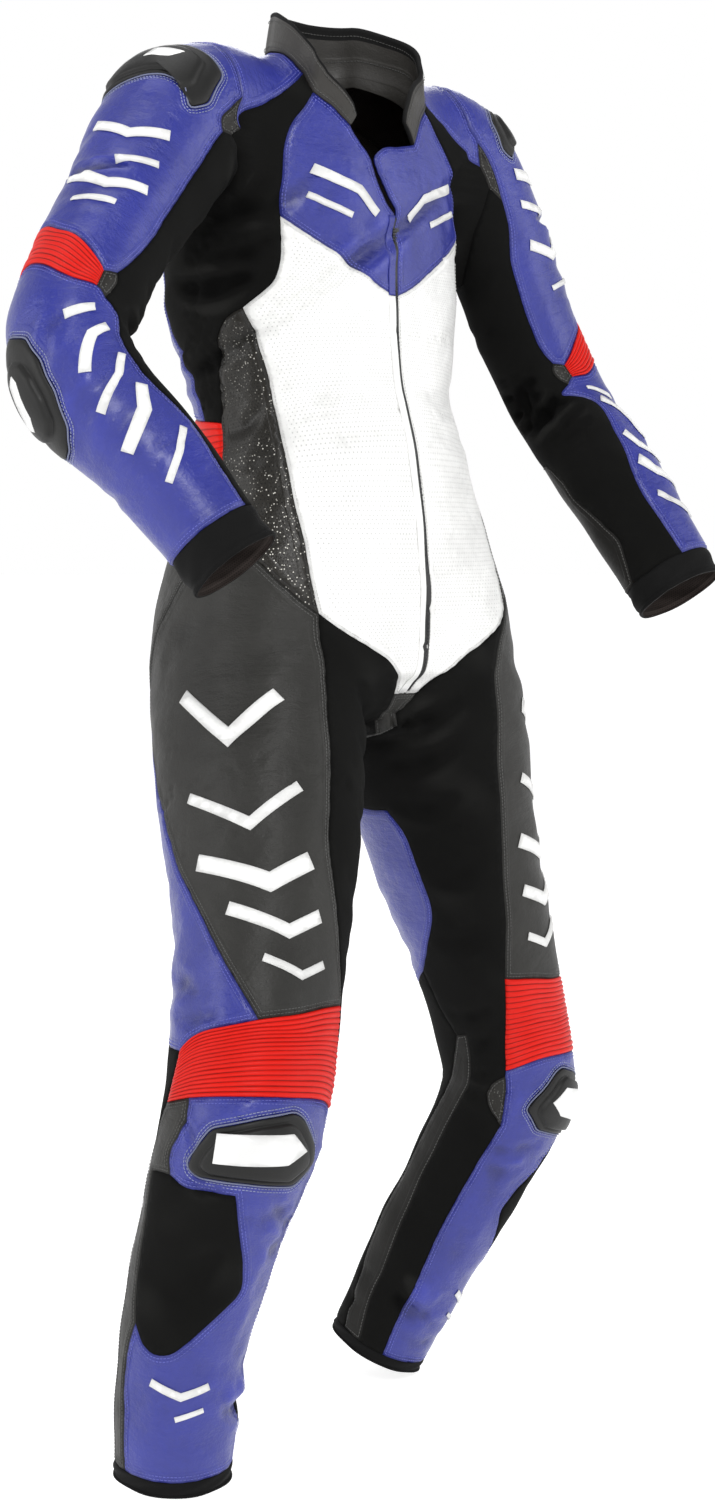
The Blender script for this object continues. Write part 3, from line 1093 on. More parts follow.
def grid_faces(rows, columns):
    """Two triangles for each cell of a grid of points."""
    a = (np.arange(rows - 1)[:, None] * columns + np.arange(columns - 1)).ravel()
    return np.concatenate([np.stack([a, a + 1, a + 1 + columns], 1),
                           np.stack([a, a + 1 + columns, a + columns], 1)])


def ribbed_panel(name, host, sides, count, height, thick, materials):
    """Round ribs from seam to seam: height times a rounded sine across them, uneven along them."""
    rows, columns = count * 8 + 1, 44
    patch, flat = rib_grid(STORE["seams"], host, *sides, rows, columns)
    points, outs = patch.lift(flat)
    w = np.repeat(np.linspace(0, 1, rows), columns)
    s = np.tile(np.linspace(0, 1, columns), rows)
    sway = 0.035 * np.sin(5.1 * s + 1.3 * np.floor(w * count)) / count
    crest = np.abs(np.sin(math.pi * count * np.clip(w + sway * np.sin(math.pi * w), 0, 1))) ** 0.62
    ends = fade(s, 0.0, 0.035) * fade(1 - s, 0.0, 0.035)
    tone = 0.85 + 0.15 * np.sin(9 * s + 2.3 * np.floor(w * count))
    rise = height * (1.35 * crest * tone * (0.35 + 0.65 * ends) - 0.25)
    edge = np.minimum(np.minimum(w, 1 - w) * np.ptp(flat[:, 1]),
                      np.minimum(s, 1 - s) * np.ptp(flat[:, 0]))
    rise = rise - 0.0008 * np.exp(-(edge / 0.0015) ** 2)
    base = points + outs * fold_rise(points, outs)[:, None] * 0.6
    faces = face_outwards(grid_faces(rows, columns), base, outs)
    inset_flat = flat.mean(0) + (flat - flat.mean(0)) * (1 - 0.0004 / np.ptp(flat, axis=0))
    obj = shell(name, base + outs * rise[:, None], base - outs * (thick + 0.0006), faces,
                inset_flat, edge, materials, {"crest": crest})
    declare_sheet(obj, np.ptp(flat, axis=0), triangle_area(base, faces))
    return obj


def cloth_band(name, host, ring, far, thick, materials, rings=22, roll=0.0011, turned=0.0):
    """A tube from a ring of seams to its free edge, with knit rolls and a folded hem."""
    limb = LIMBS[host]
    station, angle, _ = limb.locate(ring)
    begin = limb.along_at(station) + SEAM_GAP
    end = limb.along_at(far)
    share = np.linspace(0, 1, rings)
    at = limb.station_at(begin * (1 - share[:, None]) + end * share[:, None])
    turn = np.tile(angle, (rings, 1))
    points = surface(host, at.ravel(), turn.ravel())
    outs = normals(points, host)
    w = np.repeat(share, len(ring))
    around = np.tile(angle, rings)
    rise = (roll * (np.exp(-((w - 0.93) / 0.06) ** 2) - 0.8 * np.exp(-((w - 0.80) / 0.035) ** 2)
                    - 0.7 * np.exp(-(w / 0.04) ** 2))
            + 0.0007 * np.sin(3 * around + 4 * w) * np.sin(math.pi * w)
            + 0.0005 * np.sin(7 * around + 9 * w + 1) - turned * w**3)
    points = points + outs * fold_rise(points, outs)[:, None] * 0.5
    count = len(ring)
    k = np.arange(count)
    a = (np.arange(rings - 1)[:, None] * count + k).ravel()
    b = (np.arange(rings - 1)[:, None] * count + (k + 1) % count).ravel()
    faces = np.concatenate([np.stack([a, b, b + count], 1), np.stack([a, b + count, a + count], 1)])
    faces = face_outwards(faces, points, outs)
    reach = limb.radius(station, angle).mean()
    span = float((end - begin).mean())
    uv = np.stack([np.unwrap(angle)[None].repeat(rings, 0).ravel() * reach, w * span], 1)
    obj = shell(name, points + outs * rise[:, None], points + outs * (rise - thick * 1.3)[:, None],
                faces, uv, np.minimum(w, 1 - w) * span, materials)
    declare_sheet(obj, (2 * math.pi * reach, span), triangle_area(points, faces))
    return obj


# ---- armour, livery, zip, collar and thread ----
# armour relief: share of the outline kept, height above the leather, from the rim to the middle
ARMOUR_PROFILE = {
    "knee_armour": [(1.0, 0.0002), (0.992, 0.0016), (0.978, 0.0024), (0.93, 0.0030), (0.86, 0.0029),
                    (0.835, 0.0022), (0.81, 0.0023), (0.785, 0.0046), (0.765, 0.0062),
                    (0.73, 0.0069), (0.60, 0.0075), (0.42, 0.0080), (0.20, 0.0083)],
    "shoulder_armour": [(1.0, 0.0002), (0.99, 0.0015), (0.97, 0.0022), (0.90, 0.0029),
                        (0.80, 0.0030), (0.765, 0.0024), (0.735, 0.0026), (0.71, 0.0044),
                        (0.68, 0.0058), (0.62, 0.0064), (0.48, 0.0070), (0.30, 0.0075)],
    "elbow_armour": [(1.0, 0.0002), (0.99, 0.0016), (0.97, 0.0025), (0.88, 0.0033),
                     (0.72, 0.0034), (0.68, 0.0026), (0.65, 0.0028), (0.62, 0.0052),
                     (0.59, 0.0070), (0.52, 0.0078), (0.36, 0.0084), (0.18, 0.0087)],
}
# plain white bars and chevrons: limb, width, end slant in mm, then degrees round and station
LIVERY = {
    "sleeve_bar_1": ("arm", 11, 6, [(-28, 1.62), (-62, 1.72), (-100, 1.62)]),
    "sleeve_bar_2": ("arm", 8, 5, [(-24, 1.86), (-60, 1.98)]),
    "sleeve_bar_3": ("arm", 11, 7, [(-20, 2.16), (-58, 2.30), (-104, 2.14)]),
    "sleeve_bar_4": ("arm", 6, 4, [(-40, 2.54), (-84, 2.52)]),
    "forearm_bar_1": ("arm", 9, 6, [(-16, 3.98), (-44, 4.10)]),
    "forearm_bar_2": ("arm", 12, 8, [(0, 4.26), (-20, 4.44), (-34, 4.80)]),
    "forearm_bar_3": ("arm", 9, 6, [(10, 4.78), (-6, 5.00), (-40, 5.16)]),
    "forearm_bar_4": ("arm", 12, 8, [(14, 5.16), (-8, 5.34), (-50, 5.46)]),
    "forearm_bar_5": ("arm", 7, 5, [(14, 5.52), (-12, 5.62), (-40, 5.70)]),
    "thigh_bar_1": ("leg", 16, 12, [(-34, 1.22), (-66, 1.46), (-96, 1.16)]),
    "thigh_bar_2": ("leg", 11, 8, [(-24, 1.74), (-54, 1.98), (-96, 1.74)]),
    "thigh_bar_3": ("leg", 17, 13, [(-14, 2.22), (-42, 2.52), (-88, 2.24)]),
    "thigh_bar_4": ("leg", 13, 10, [(-4, 2.78), (-28, 3.04), (-66, 2.82)]),
    "thigh_bar_5": ("leg", 8, 6, [(4, 3.28), (-16, 3.46), (-42, 3.34)]),
    "chest_bar_1": ("torso", 10, 7, [(-52, 1.352), (-26, 1.336), (-15, 1.316)]),
    "chest_bar_2": ("torso", 7, 5, [(-52, 1.326), (-30, 1.310)]),
    "shin_bar_1": ("leg", 8, 6, [(-12, 7.30), (-40, 7.46), (-66, 7.34)]),
    "shin_bar_2": ("leg", 5, 4, [(-16, 7.62), (-42, 7.74)]),
}
# white plates set on the armour: limb, outline of degrees round and station
PLATES = {
    "knee_plate": ("leg", [(-58, 5.06), (-8, 4.95), (8, 5.05), (-6, 5.17), (-56, 5.28)], 0.0078),
    "elbow_plate": ("arm", [(-108, 4.42), (-103, 4.50), (-105, 4.78), (-114, 4.86), (-122, 4.80),
                            (-116, 4.46)], 0.0080),
    "shoulder_plate": ("arm", [(-58, 1.04), (-84, 1.03), (-88, 1.11), (-64, 1.12)], 0.0068),
}


def armour_outline(name, side):
    """The armour's outline with rounded corners, evenly spaced: points, outwards and limb."""
    host, rows = ARMOUR_OUTLINES[name]
    host, angle, station = side_rows(host, rows, side)
    if side == "L":
        station = station + LEFT_ARMOUR_DOWN.get(name, 0.0)
    patch = Patch(host, surface(host, station, angle))
    limb = LIMBS[host]
    flat = np.stack([np.unwrap(angle) * patch.reach, limb.along_at(station)], 1)
    closed = np.concatenate([flat, flat[:1]])
    run = np.concatenate([[0.0], np.cumsum(np.linalg.norm(np.diff(closed, axis=0), axis=1))])
    share = np.linspace(0, run[-1], 97)[:-1]
    even = np.stack([np.interp(share, run, column) for column in closed.T], 1)
    for _ in range(2):
        even = (np.roll(even, 1, axis=0) + 2 * even + np.roll(even, -1, axis=0)) / 4
    points, outs = patch.lift(even)
    return points, outs, host


def armour_piece(name, side, material):
    """Rings of the outline drawn towards its middle, each at its own height, and a closed back."""
    ring, outs, host = armour_outline(name, side)
    patch = Patch(host, ring)
    flat = patch.flat(ring)
    middle = flat.mean(0)
    profile = ARMOUR_PROFILE[name]
    share = np.array([row[0] for row in profile])
    rows = middle + (flat - middle)[None] * share[:, None, None]
    points, all_outs = patch.lift(rows.reshape(-1, 2))
    rise = np.repeat([row[1] for row in profile], len(ring))
    points = points + all_outs * rise[:, None]
    points[:len(ring)] = wall_ring(ring, outs, SEAM_GAP / 2)
    centre, centre_out = patch.lift(middle[None])
    outer = np.concatenate([points, centre + centre_out * (profile[-1][1] + 0.0002)])
    full_outs = np.concatenate([all_outs, centre_out])
    count, levels = len(ring), len(profile)
    k = np.arange(count)
    a = (np.arange(levels - 1)[:, None] * count + k).ravel()
    b = (np.arange(levels - 1)[:, None] * count + (k + 1) % count).ravel()
    last = (levels - 1) * count
    faces = np.concatenate([np.stack([a, b, b + count], 1), np.stack([a, b + count, a + count], 1),
                            np.stack([last + k, last + (k + 1) % count, np.full(count, len(points))],
                                     1)])
    faces = face_outwards(faces, outer, full_outs)
    base, base_outs = patch.lift(np.concatenate([rows.reshape(-1, 2), middle[None]]))
    uv = np.concatenate([rows.reshape(-1, 2), middle[None]])
    edge = distance_to_ring(flat, uv)
    obj = shell(name + "_" + side, outer, base - base_outs * LEATHER, faces, uv, edge, [material])
    return obj


def strip_outline(path, width, slant):
    """A strip's corners round a bent path: mitred at each bend, its two ends cut on a slant."""
    run = np.diff(path, axis=0)
    along = run / np.linalg.norm(run, axis=1)[:, None]
    across = np.stack([-along[:, 1], along[:, 0]], 1)
    left = []
    for k in range(len(path)):
        if k == 0:
            shift = across[0] * width / 2 + along[0] * slant / 2
        elif k == len(path) - 1:
            shift = across[-1] * width / 2 + along[-1] * slant / 2
        else:
            both = across[k - 1] + across[k]
            shift = both / (1 + across[k - 1] @ across[k]) * width / 2
        left.append(shift)
    left = np.array(left)
    right = left.copy()
    right[0] = across[0] * width / 2 - along[0] * slant / 2
    right[-1] = across[-1] * width / 2 - along[-1] * slant / 2
    return np.concatenate([path + left, (path - right)[::-1]])


def sampled_outline(corners, step):
    closed = np.concatenate([corners, corners[:1]])
    parts = []
    for a, b in zip(closed[:-1], closed[1:]):
        count = max(1, int(round(np.linalg.norm(b - a) / step)))
        parts.append(a + (b - a) * (np.arange(count) / count)[:, None])
    return np.concatenate(parts)


def raised_shape(name, host, corners, low, high, bevel, material, folded=True):
    """A flat shape laid on the form: its outline at low, a ring a bevel further in at high."""
    ring = sampled_outline(corners, 0.0045)
    turn = np.roll(ring, -1, axis=0) - ring
    area = (ring[:, 0] * np.roll(ring[:, 1], -1) - np.roll(ring[:, 0], -1) * ring[:, 1]).sum()
    normal = np.stack([-turn[:, 1], turn[:, 0]], 1)
    normal /= np.linalg.norm(normal, axis=1)[:, None]
    before = np.roll(normal, 1, axis=0)
    meet = 1 + (normal * before).sum(1)
    inner = ring + (normal + before) / np.maximum(meet, 0.5)[:, None] * bevel * np.sign(area)
    patch = Patch.__new__(Patch)
    patch.host, patch.limb, patch.reach, patch.start = host, LIMBS[host], 0.06, 0.0
    bulk = lattice([inner], STEP_ROUND)
    top = triangulate([inner], bulk)
    flat = np.concatenate([inner, bulk, ring])
    points, outs = patch.lift(flat)
    count = len(ring)
    k = np.arange(count)
    start = len(inner) + len(bulk)
    sides = np.concatenate([np.stack([k, (k + 1) % count, start + k], 1),
                            np.stack([(k + 1) % count, start + (k + 1) % count, start + k], 1)])
    faces = np.concatenate([top, sides])
    rise = np.concatenate([np.full(start, high), np.full(count, low)])
    if folded:
        points = points + outs * fold_rise(points, outs)[:, None]
    outer = points + outs * rise[:, None]
    a, b, c = (outer[top[:, i]] for i in range(3))
    if (np.cross(b - a, c - a) * outs[top[:, 0]]).sum() < 0:
        top = top[:, ::-1]
    if (np.cross(outer[sides[:, 1]] - outer[sides[:, 0]], outer[sides[:, 2]] - outer[sides[:, 0]])
            * (outer[sides[:, 2]] - outer[sides[:, 2]].mean(0))).sum() < 0:
        sides = sides[:, ::-1]
    faces = np.concatenate([top, sides])
    under = points + outs * (low - 0.0002)
    edge = np.concatenate([np.full(len(inner), bevel), bevel + distance_to_ring(inner, bulk),
                           np.zeros(count)]) if len(bulk) else np.concatenate(
                               [np.full(len(inner), bevel), np.zeros(count)])
    return shell(name, outer, under, faces, flat, edge, [material])


def flat_rows(host, rows, side):
    """Degrees and stations as a flat map with one reach of 60 mm for every limb."""
    host, angle, station = side_rows(host, rows, side)
    return host, np.stack([np.unwrap(angle) * 0.06, LIMBS[host].along_at(station)], 1)


def true_strip(host, flat, width, slant):
    """A strip of true width: the flat map is stretched to the limb's own reach and back."""
    limb = LIMBS[host]
    station = limb.station_at(flat[:, 1])
    reach = np.linalg.norm(surface(host, station, flat[:, 0] / 0.06)
                           - limb.read(limb.centre, station), axis=1).mean()
    stretch = np.array([reach / 0.06, 1.0])
    return strip_outline(flat * stretch, width, slant) / stretch


def note_stitches(thread, points, outs, closed, pitch=0.0036, avoid=None, clear=0.0):
    """Even stitches along a line: where each sits, and which way it runs and faces."""
    if closed:
        points, outs = np.concatenate([points, points[:1]]), np.concatenate([outs, outs[:1]])
    run = np.concatenate([[0.0], np.cumsum(np.linalg.norm(np.diff(points, axis=0), axis=1))])
    at = np.arange(pitch / 2, run[-1], pitch)
    if len(at) < 2:
        return
    place = np.stack([np.interp(at, run, column) for column in points.T], 1)
    out = np.stack([np.interp(at, run, column) for column in outs.T], 1)
    ahead = np.stack([np.interp(at + 0.0012, run, column) for column in points.T], 1)
    behind = np.stack([np.interp(at - 0.0012, run, column) for column in points.T], 1)
    along = ahead - behind
    along /= np.maximum(np.linalg.norm(along, axis=1), 1e-9)[:, None]
    keep = np.ones(len(at), bool)
    if avoid is not None:
        closest = np.linalg.norm(place[:, None] - avoid[None], axis=2).min(1)
        keep = closest > clear
    place = place + out * fold_rise(place, out)[:, None]
    store()["stitches"].append((thread, place[keep], along[keep], out[keep]))


def stitch_panel(thread, ring, outs, offsets):
    """Rows of stitches inside a panel's own edge."""
    dense = np.concatenate([ring, (ring + np.roll(ring, -1, axis=0)) / 2])
    for offset in offsets:
        moved = wall_ring(ring, outs, offset)
        note_stitches(thread, moved, outs, True, avoid=dense, clear=0.86 * offset)


def stitch_mesh(name, rows, length, width, height, material):
    """Every stitch is one small rounded bar: a low six-sided ridge, repeated along its rows."""
    bar = np.array([(-0.5, -0.5, -0.3), (-0.5, 0.5, -0.3), (-0.30, -0.42, 0.75), (-0.30, 0.42, 0.75),
                    (0.0, -0.45, 1.0), (0.0, 0.45, 1.0), (0.30, -0.42, 0.75), (0.30, 0.42, 0.75),
                    (0.5, -0.5, -0.3), (0.5, 0.5, -0.3)])
    strip = [(0, 2, 3, 1), (2, 4, 5, 3), (4, 6, 7, 5), (6, 8, 9, 7)]
    side = [(0, 8, 6, 4), (0, 4, 2, 2), (1, 5, 9, 9), (1, 3, 5, 5), (5, 7, 9, 9)]
    quads = np.array(strip)
    tris = np.concatenate([quads[:, [0, 2, 1]], quads[:, [0, 3, 2]],
                           [(0, 6, 8), (0, 4, 6), (0, 2, 4), (1, 9, 7), (1, 7, 5), (1, 5, 3)]])
    place = np.concatenate([row[0] for row in rows])
    along = np.concatenate([row[1] for row in rows])
    out = np.concatenate([row[2] for row in rows])
    out = out - along * (out * along).sum(1)[:, None]
    out /= np.linalg.norm(out, axis=1)[:, None]
    across = np.cross(out, along)
    verts = (place[:, None] + along[:, None] * bar[None, :, :1] * length
             + across[:, None] * bar[None, :, 1:2] * width + out[:, None] * bar[None, :, 2:] * height)
    count = len(place)
    faces = (tris[None] + (np.arange(count) * len(bar))[:, None, None]).reshape(-1, 3)
    verts = verts.reshape(-1, 3)
    uv = np.tile(bar[:, :2] * [length, width], (count, 1))
    tone = np.repeat(np.sin(np.arange(count) * 12.9898) * 0.5 + 0.5, len(bar))
    return mesh_object(name, verts, faces, uv, tone, 0, [material])


def tube(name, path, outs, radius, material, closed=True, sides=8):
    """A round cord along a path: a circle of the given radius square to it at every point."""
    count = len(path)
    step = np.roll(path, -1, axis=0) - np.roll(path, 1, axis=0)
    if not closed:
        step[0], step[-1] = path[1] - path[0], path[-1] - path[-2]
    along = step / np.linalg.norm(step, axis=1)[:, None]
    across = np.cross(outs, along)
    across /= np.linalg.norm(across, axis=1)[:, None]
    up = np.cross(along, across)
    turn = np.linspace(0, 2 * math.pi, sides, endpoint=False)
    verts = (path[:, None] + radius * (np.cos(turn)[None, :, None] * across[:, None]
                                       + np.sin(turn)[None, :, None] * up[:, None])).reshape(-1, 3)
    rows = np.arange(count if closed else count - 1)
    a = (rows[:, None] * sides + np.arange(sides)).ravel()
    b = (rows[:, None] * sides + (np.arange(sides) + 1) % sides).ravel()
    c = (((rows + 1) % count)[:, None] * sides + np.arange(sides)).ravel()
    d = (((rows + 1) % count)[:, None] * sides + (np.arange(sides) + 1) % sides).ravel()
    faces = np.concatenate([np.stack([a, b, d], 1), np.stack([a, d, c], 1)])
    if not closed:
        k = np.arange(1, sides - 1)
        end = (count - 1) * sides
        faces = np.concatenate([faces, np.stack([0 * k, k + 1, k], 1),
                                np.stack([end + 0 * k, end + k, end + k + 1], 1)])
    uv = np.stack([np.repeat(np.arange(count) * 0.004, sides), np.tile(turn * radius, count)], 1)
    return mesh_object(name, verts, faces, uv, np.full(len(verts), 0.002), 0, [material])


# strips down the front, across their width: share from one edge to the other, height in mm
FLAP_PROFILE = [(0.0, 0.1), (0.03, 0.8), (0.10, 1.0), (0.30, 0.9), (0.60, 1.0), (0.85, 1.3),
                (0.95, 1.3), (1.0, 0.9), (0.97, 0.5), (0.85, 0.4), (0.30, 0.1)]
TAPE_PROFILE = [(0.0, 0.0), (0.04, 0.35), (0.30, 0.45), (0.50, 0.35), (0.70, 0.45), (0.96, 0.35),
                (1.0, 0.0), (0.5, -0.2)]


def front_strip(name, first, last, profile, left, right, material):
    """One cross-section carried down the front between two distances from the middle."""
    rows = int((first - last) / 0.005) + 2
    station = np.linspace(first, last, rows)
    profile = np.array(profile)
    t = (1.316 - station) / 0.517
    gape = fade(t, 0.60, 0.76) * (1 - fade(t, 0.93, 1.0))
    sewn, fold = (at[0] + at[1] * gape + at[2] * np.sin(21 * t) for at in (left, right))
    x = sewn[:, None] + (fold - sewn)[:, None] * profile[None, :, 0]
    reach = LIMBS["torso"].radius(station, np.zeros(rows))
    turn = x / reach[:, None]
    at = np.repeat(station, len(profile))
    points = surface("torso", at, turn.ravel())
    outs = normals(points, "torso")
    height = np.tile(profile[:, 1] / 1000, rows) + 0.0003 * np.sin(60 * np.repeat(t, len(profile)))
    points = points + outs * (height + fold_rise(points, outs))[:, None]
    count = len(profile)
    k = np.arange(count)
    a = (np.arange(rows - 1)[:, None] * count + k).ravel()
    b = (np.arange(rows - 1)[:, None] * count + (k + 1) % count).ravel()
    faces = np.concatenate([np.stack([a, b, b + count], 1), np.stack([a, b + count, a + count], 1)])
    caps = triangulate([profile * [1.0, 0.05]], np.zeros((0, 2)))
    end = (rows - 1) * count
    centre = points.reshape(rows, count, 3).mean(1)
    away = points - np.repeat(centre, count, axis=0)
    normal = np.cross(points[faces[:, 1]] - points[faces[:, 0]],
                      points[faces[:, 2]] - points[faces[:, 0]])
    if (normal * away[faces[:, 0]]).sum() < 0:
        faces = faces[:, ::-1]
    for ids, down in ((caps, -1.0), (caps + end, 1.0)):
        n = np.cross(points[ids[:, 1]] - points[ids[:, 0]], points[ids[:, 2]] - points[ids[:, 0]])
        facing = (n.sum(0) @ (centre[-1] - centre[0])) * down
        faces = np.concatenate([faces, ids if facing > 0 else ids[:, ::-1]])
    uv = np.stack([x.ravel(), at], 1)
    return mesh_object(name, points, faces, uv, np.full(len(points), 0.004), 0, [material])


def zip_chain(material):
    """Moulded teeth in two rows, each a short bar turned a little, along the middle of the front."""
    station = np.arange(1.300, 0.812, -0.0024)
    count = len(station)
    side = np.where(np.arange(count) % 2, 1.0, -1.0)
    middle = surface("torso", station, np.zeros(count))
    outs = normals(middle, "torso")
    outs[:, 0] = 0
    outs /= np.linalg.norm(outs, axis=1)[:, None]
    along = np.cross(outs, np.array([1.0, 0, 0]))
    place = middle + np.array([1.0, 0, 0]) * (0.0009 + 0.0006 * side)[:, None] - outs * 0.0002
    rows = [(place, np.tile([1.0, 0, 0], (count, 1)), outs)]
    return stitch_mesh("zip_teeth", rows, 0.0030, 0.0014, 0.0011, material), along


def collar_shell(materials):
    """The standing band: one closed cross-section, leaned in and set to its height, round the neck."""
    seams = STORE["seams"]
    names = ["neck_chest_R", "neck_stretch_R", "neck_yoke_R", "neck_back", "neck_yoke_L",
             "neck_stretch_L", "neck_chest_L"]
    first = seams[names[0]].turned()
    points, outs, at = [first.points], [first.outs], first.end
    for name in names[1:]:
        curve = seams[name]
        curve = curve if curve.start == at else curve.turned()
        at = curve.end
        points.append(curve.points[1:])
        outs.append(curve.outs[1:])
    base, outs = np.concatenate(points), np.concatenate(outs)
    run = np.concatenate([[0.0], np.cumsum(np.linalg.norm(np.diff(base, axis=0), axis=1))])
    columns = 150
    even = np.linspace(0.0, 1.0, columns)
    base = np.stack([np.interp(even, run / run[-1], column) for column in base.T], 1)
    outs = np.stack([np.interp(even, run / run[-1], column) for column in outs.T], 1)
    for _ in range(6):
        outs[1:-1] = (outs[:-2] + 2 * outs[1:-1] + outs[2:]) / 4
    level = outs * [1, 1, 0]
    level /= np.linalg.norm(level, axis=1)[:, None]
    table = np.array(COLLAR_ROWS)
    height, lean = (smooth_rows(table[:, 0], table[:, k:k + 1], even)[:, 0] for k in (1, 2))
    ends = np.minimum(even, 1 - even) * run[-1]
    height = height - 0.004 * (1 - fade(ends, 0.0, 0.010))
    # share of the height, millimetres outwards; then the inside, back down below the neckline
    rim = [(0.02, 0.6), (0.05, 1.3), (0.12, 1.6), (0.30, 2.0), (0.50, 2.2), (0.70, 2.1), (0.86, 1.7),
           (0.90, 1.3), (0.93, 1.6), (0.97, 1.7), (1.0, 0.9), (1.012, -0.6), (1.0, -2.2),
           (0.96, -3.2), (0.91, -3.3), (0.88, -2.9), (0.70, -3.2), (0.45, -3.4), (0.15, -3.6),
           (-0.15, -4.6), (-0.55, -6.4), (-0.58, -5.2), (-0.2, -3.2), (0.0, -2.0)]
    rim = np.array(rim)
    zone = np.array([0] * 7 + [1] * 9 + [2] * 5 + [3] * 3)
    share = rim[:, 0]
    along = np.gradient(base, axis=0)
    for _ in range(12):
        along[1:-1] = (along[:-2] + 2 * along[1:-1] + along[2:]) / 4
    along /= np.linalg.norm(along, axis=1)[:, None]
    up = np.array([0.0, 0.0, 1.0]) - 0.85 * along * along[:, 2:3]
    up /= np.linalg.norm(up, axis=1)[:, None]
    lift = np.where(share[None] > 0, share[None] * height[:, None], share[None] * 0.036)
    inward = lean[:, None] * np.clip(share[None], 0, 1.1) - rim[None, :, 1] / 1000
    wave = 0.0006 * np.sin(23 * even)[:, None] * np.sin(3.1 * np.clip(share, 0, 1))[None]
    drop = np.clip(-share[None], 0, 1) * 0.5 * (outs[:, 2:3] * 0.03)
    verts = (base[:, None] + up[:, None] * lift[..., None] - level[:, None] * (inward + wave + drop)[..., None])
    count = len(rim)
    verts = verts.reshape(-1, 3)
    k = np.arange(count)
    a = (np.arange(columns - 1)[:, None] * count + k).ravel()
    b = (np.arange(columns - 1)[:, None] * count + (k + 1) % count).ravel()
    faces = np.concatenate([np.stack([a, b, b + count], 1), np.stack([a, b + count, a + count], 1)])
    which = np.tile(np.tile(zone, columns - 1), 2)
    middle = verts.reshape(columns, count, 3).mean(1)
    away = verts - np.repeat(middle, count, axis=0)
    normal = np.cross(verts[faces[:, 1]] - verts[faces[:, 0]], verts[faces[:, 2]] - verts[faces[:, 0]])
    if (normal * away[faces[:, 0]]).sum() < 0:
        faces = faces[:, ::-1]
    caps = triangulate([np.stack([rim[:, 0], rim[:, 1] / 36], 1)], np.zeros((0, 2)))
    for ids, towards in ((caps, base[0] - base[3]), (caps + (columns - 1) * count,
                                                     base[-1] - base[-4])):
        n = np.cross(verts[ids[:, 1]] - verts[ids[:, 0]], verts[ids[:, 2]] - verts[ids[:, 0]])
        faces = np.concatenate([faces, ids if n.sum(0) @ towards > 0 else ids[:, ::-1]])
        which = np.concatenate([which, np.full(len(ids), 1)])
    uv = np.stack([np.repeat(even * run[-1], count), np.tile(share * 0.036, columns)], 1)
    edge = np.tile(np.abs(share - 0.02) * 0.036, columns)
    obj = mesh_object("collar_band", verts, faces, uv, edge, 0, materials)
    obj.data.polygons.foreach_set("material_index", which.astype(np.int32))
    for part, side in ((0.14, 1.9), (0.80, 2.0), (0.20, -3.7), (0.80, -3.3)):
        line = (base + up * (part * height)[:, None]
                - level * (lean * part - side / 1000 - (0.0003 if side > 0 else -0.0003))[:, None])
        facing = level if side > 0 else -level
        store()["stitches"].append(("grey", *plain_row(line, facing)))
    return obj


def plain_row(points, outs, pitch=0.0036):
    run = np.concatenate([[0.0], np.cumsum(np.linalg.norm(np.diff(points, axis=0), axis=1))])
    at = np.arange(0.004, run[-1] - 0.004, pitch)
    place = np.stack([np.interp(at, run, column) for column in points.T], 1)
    out = np.stack([np.interp(at, run, column) for column in outs.T], 1)
    ahead = np.stack([np.interp(at + 0.0015, run, column) for column in points.T], 1)
    along = ahead - place
    return place, along / np.linalg.norm(along, axis=1)[:, None], out


# ---- finishes ----
class Value:
    """A shader socket that takes part in sums like a number: each sum adds its own Math node."""

    def __init__(self, shade, socket):
        self.shade, self.socket = shade, socket

    def __add__(self, other):
        return self.shade.maths("ADD", self, other)

    def __sub__(self, other):
        return self.shade.maths("SUBTRACT", self, other)

    def __rsub__(self, other):
        return self.shade.maths("SUBTRACT", other, self)

    def __mul__(self, other):
        return self.shade.maths("MULTIPLY", self, other)

    def __truediv__(self, other):
        return self.shade.maths("DIVIDE", self, other)

    def __lt__(self, other):
        return self.shade.maths("LESS_THAN", self, other)

    def __gt__(self, other):
        return self.shade.maths("GREATER_THAN", self, other)

    __radd__ = __add__
    __rmul__ = __mul__


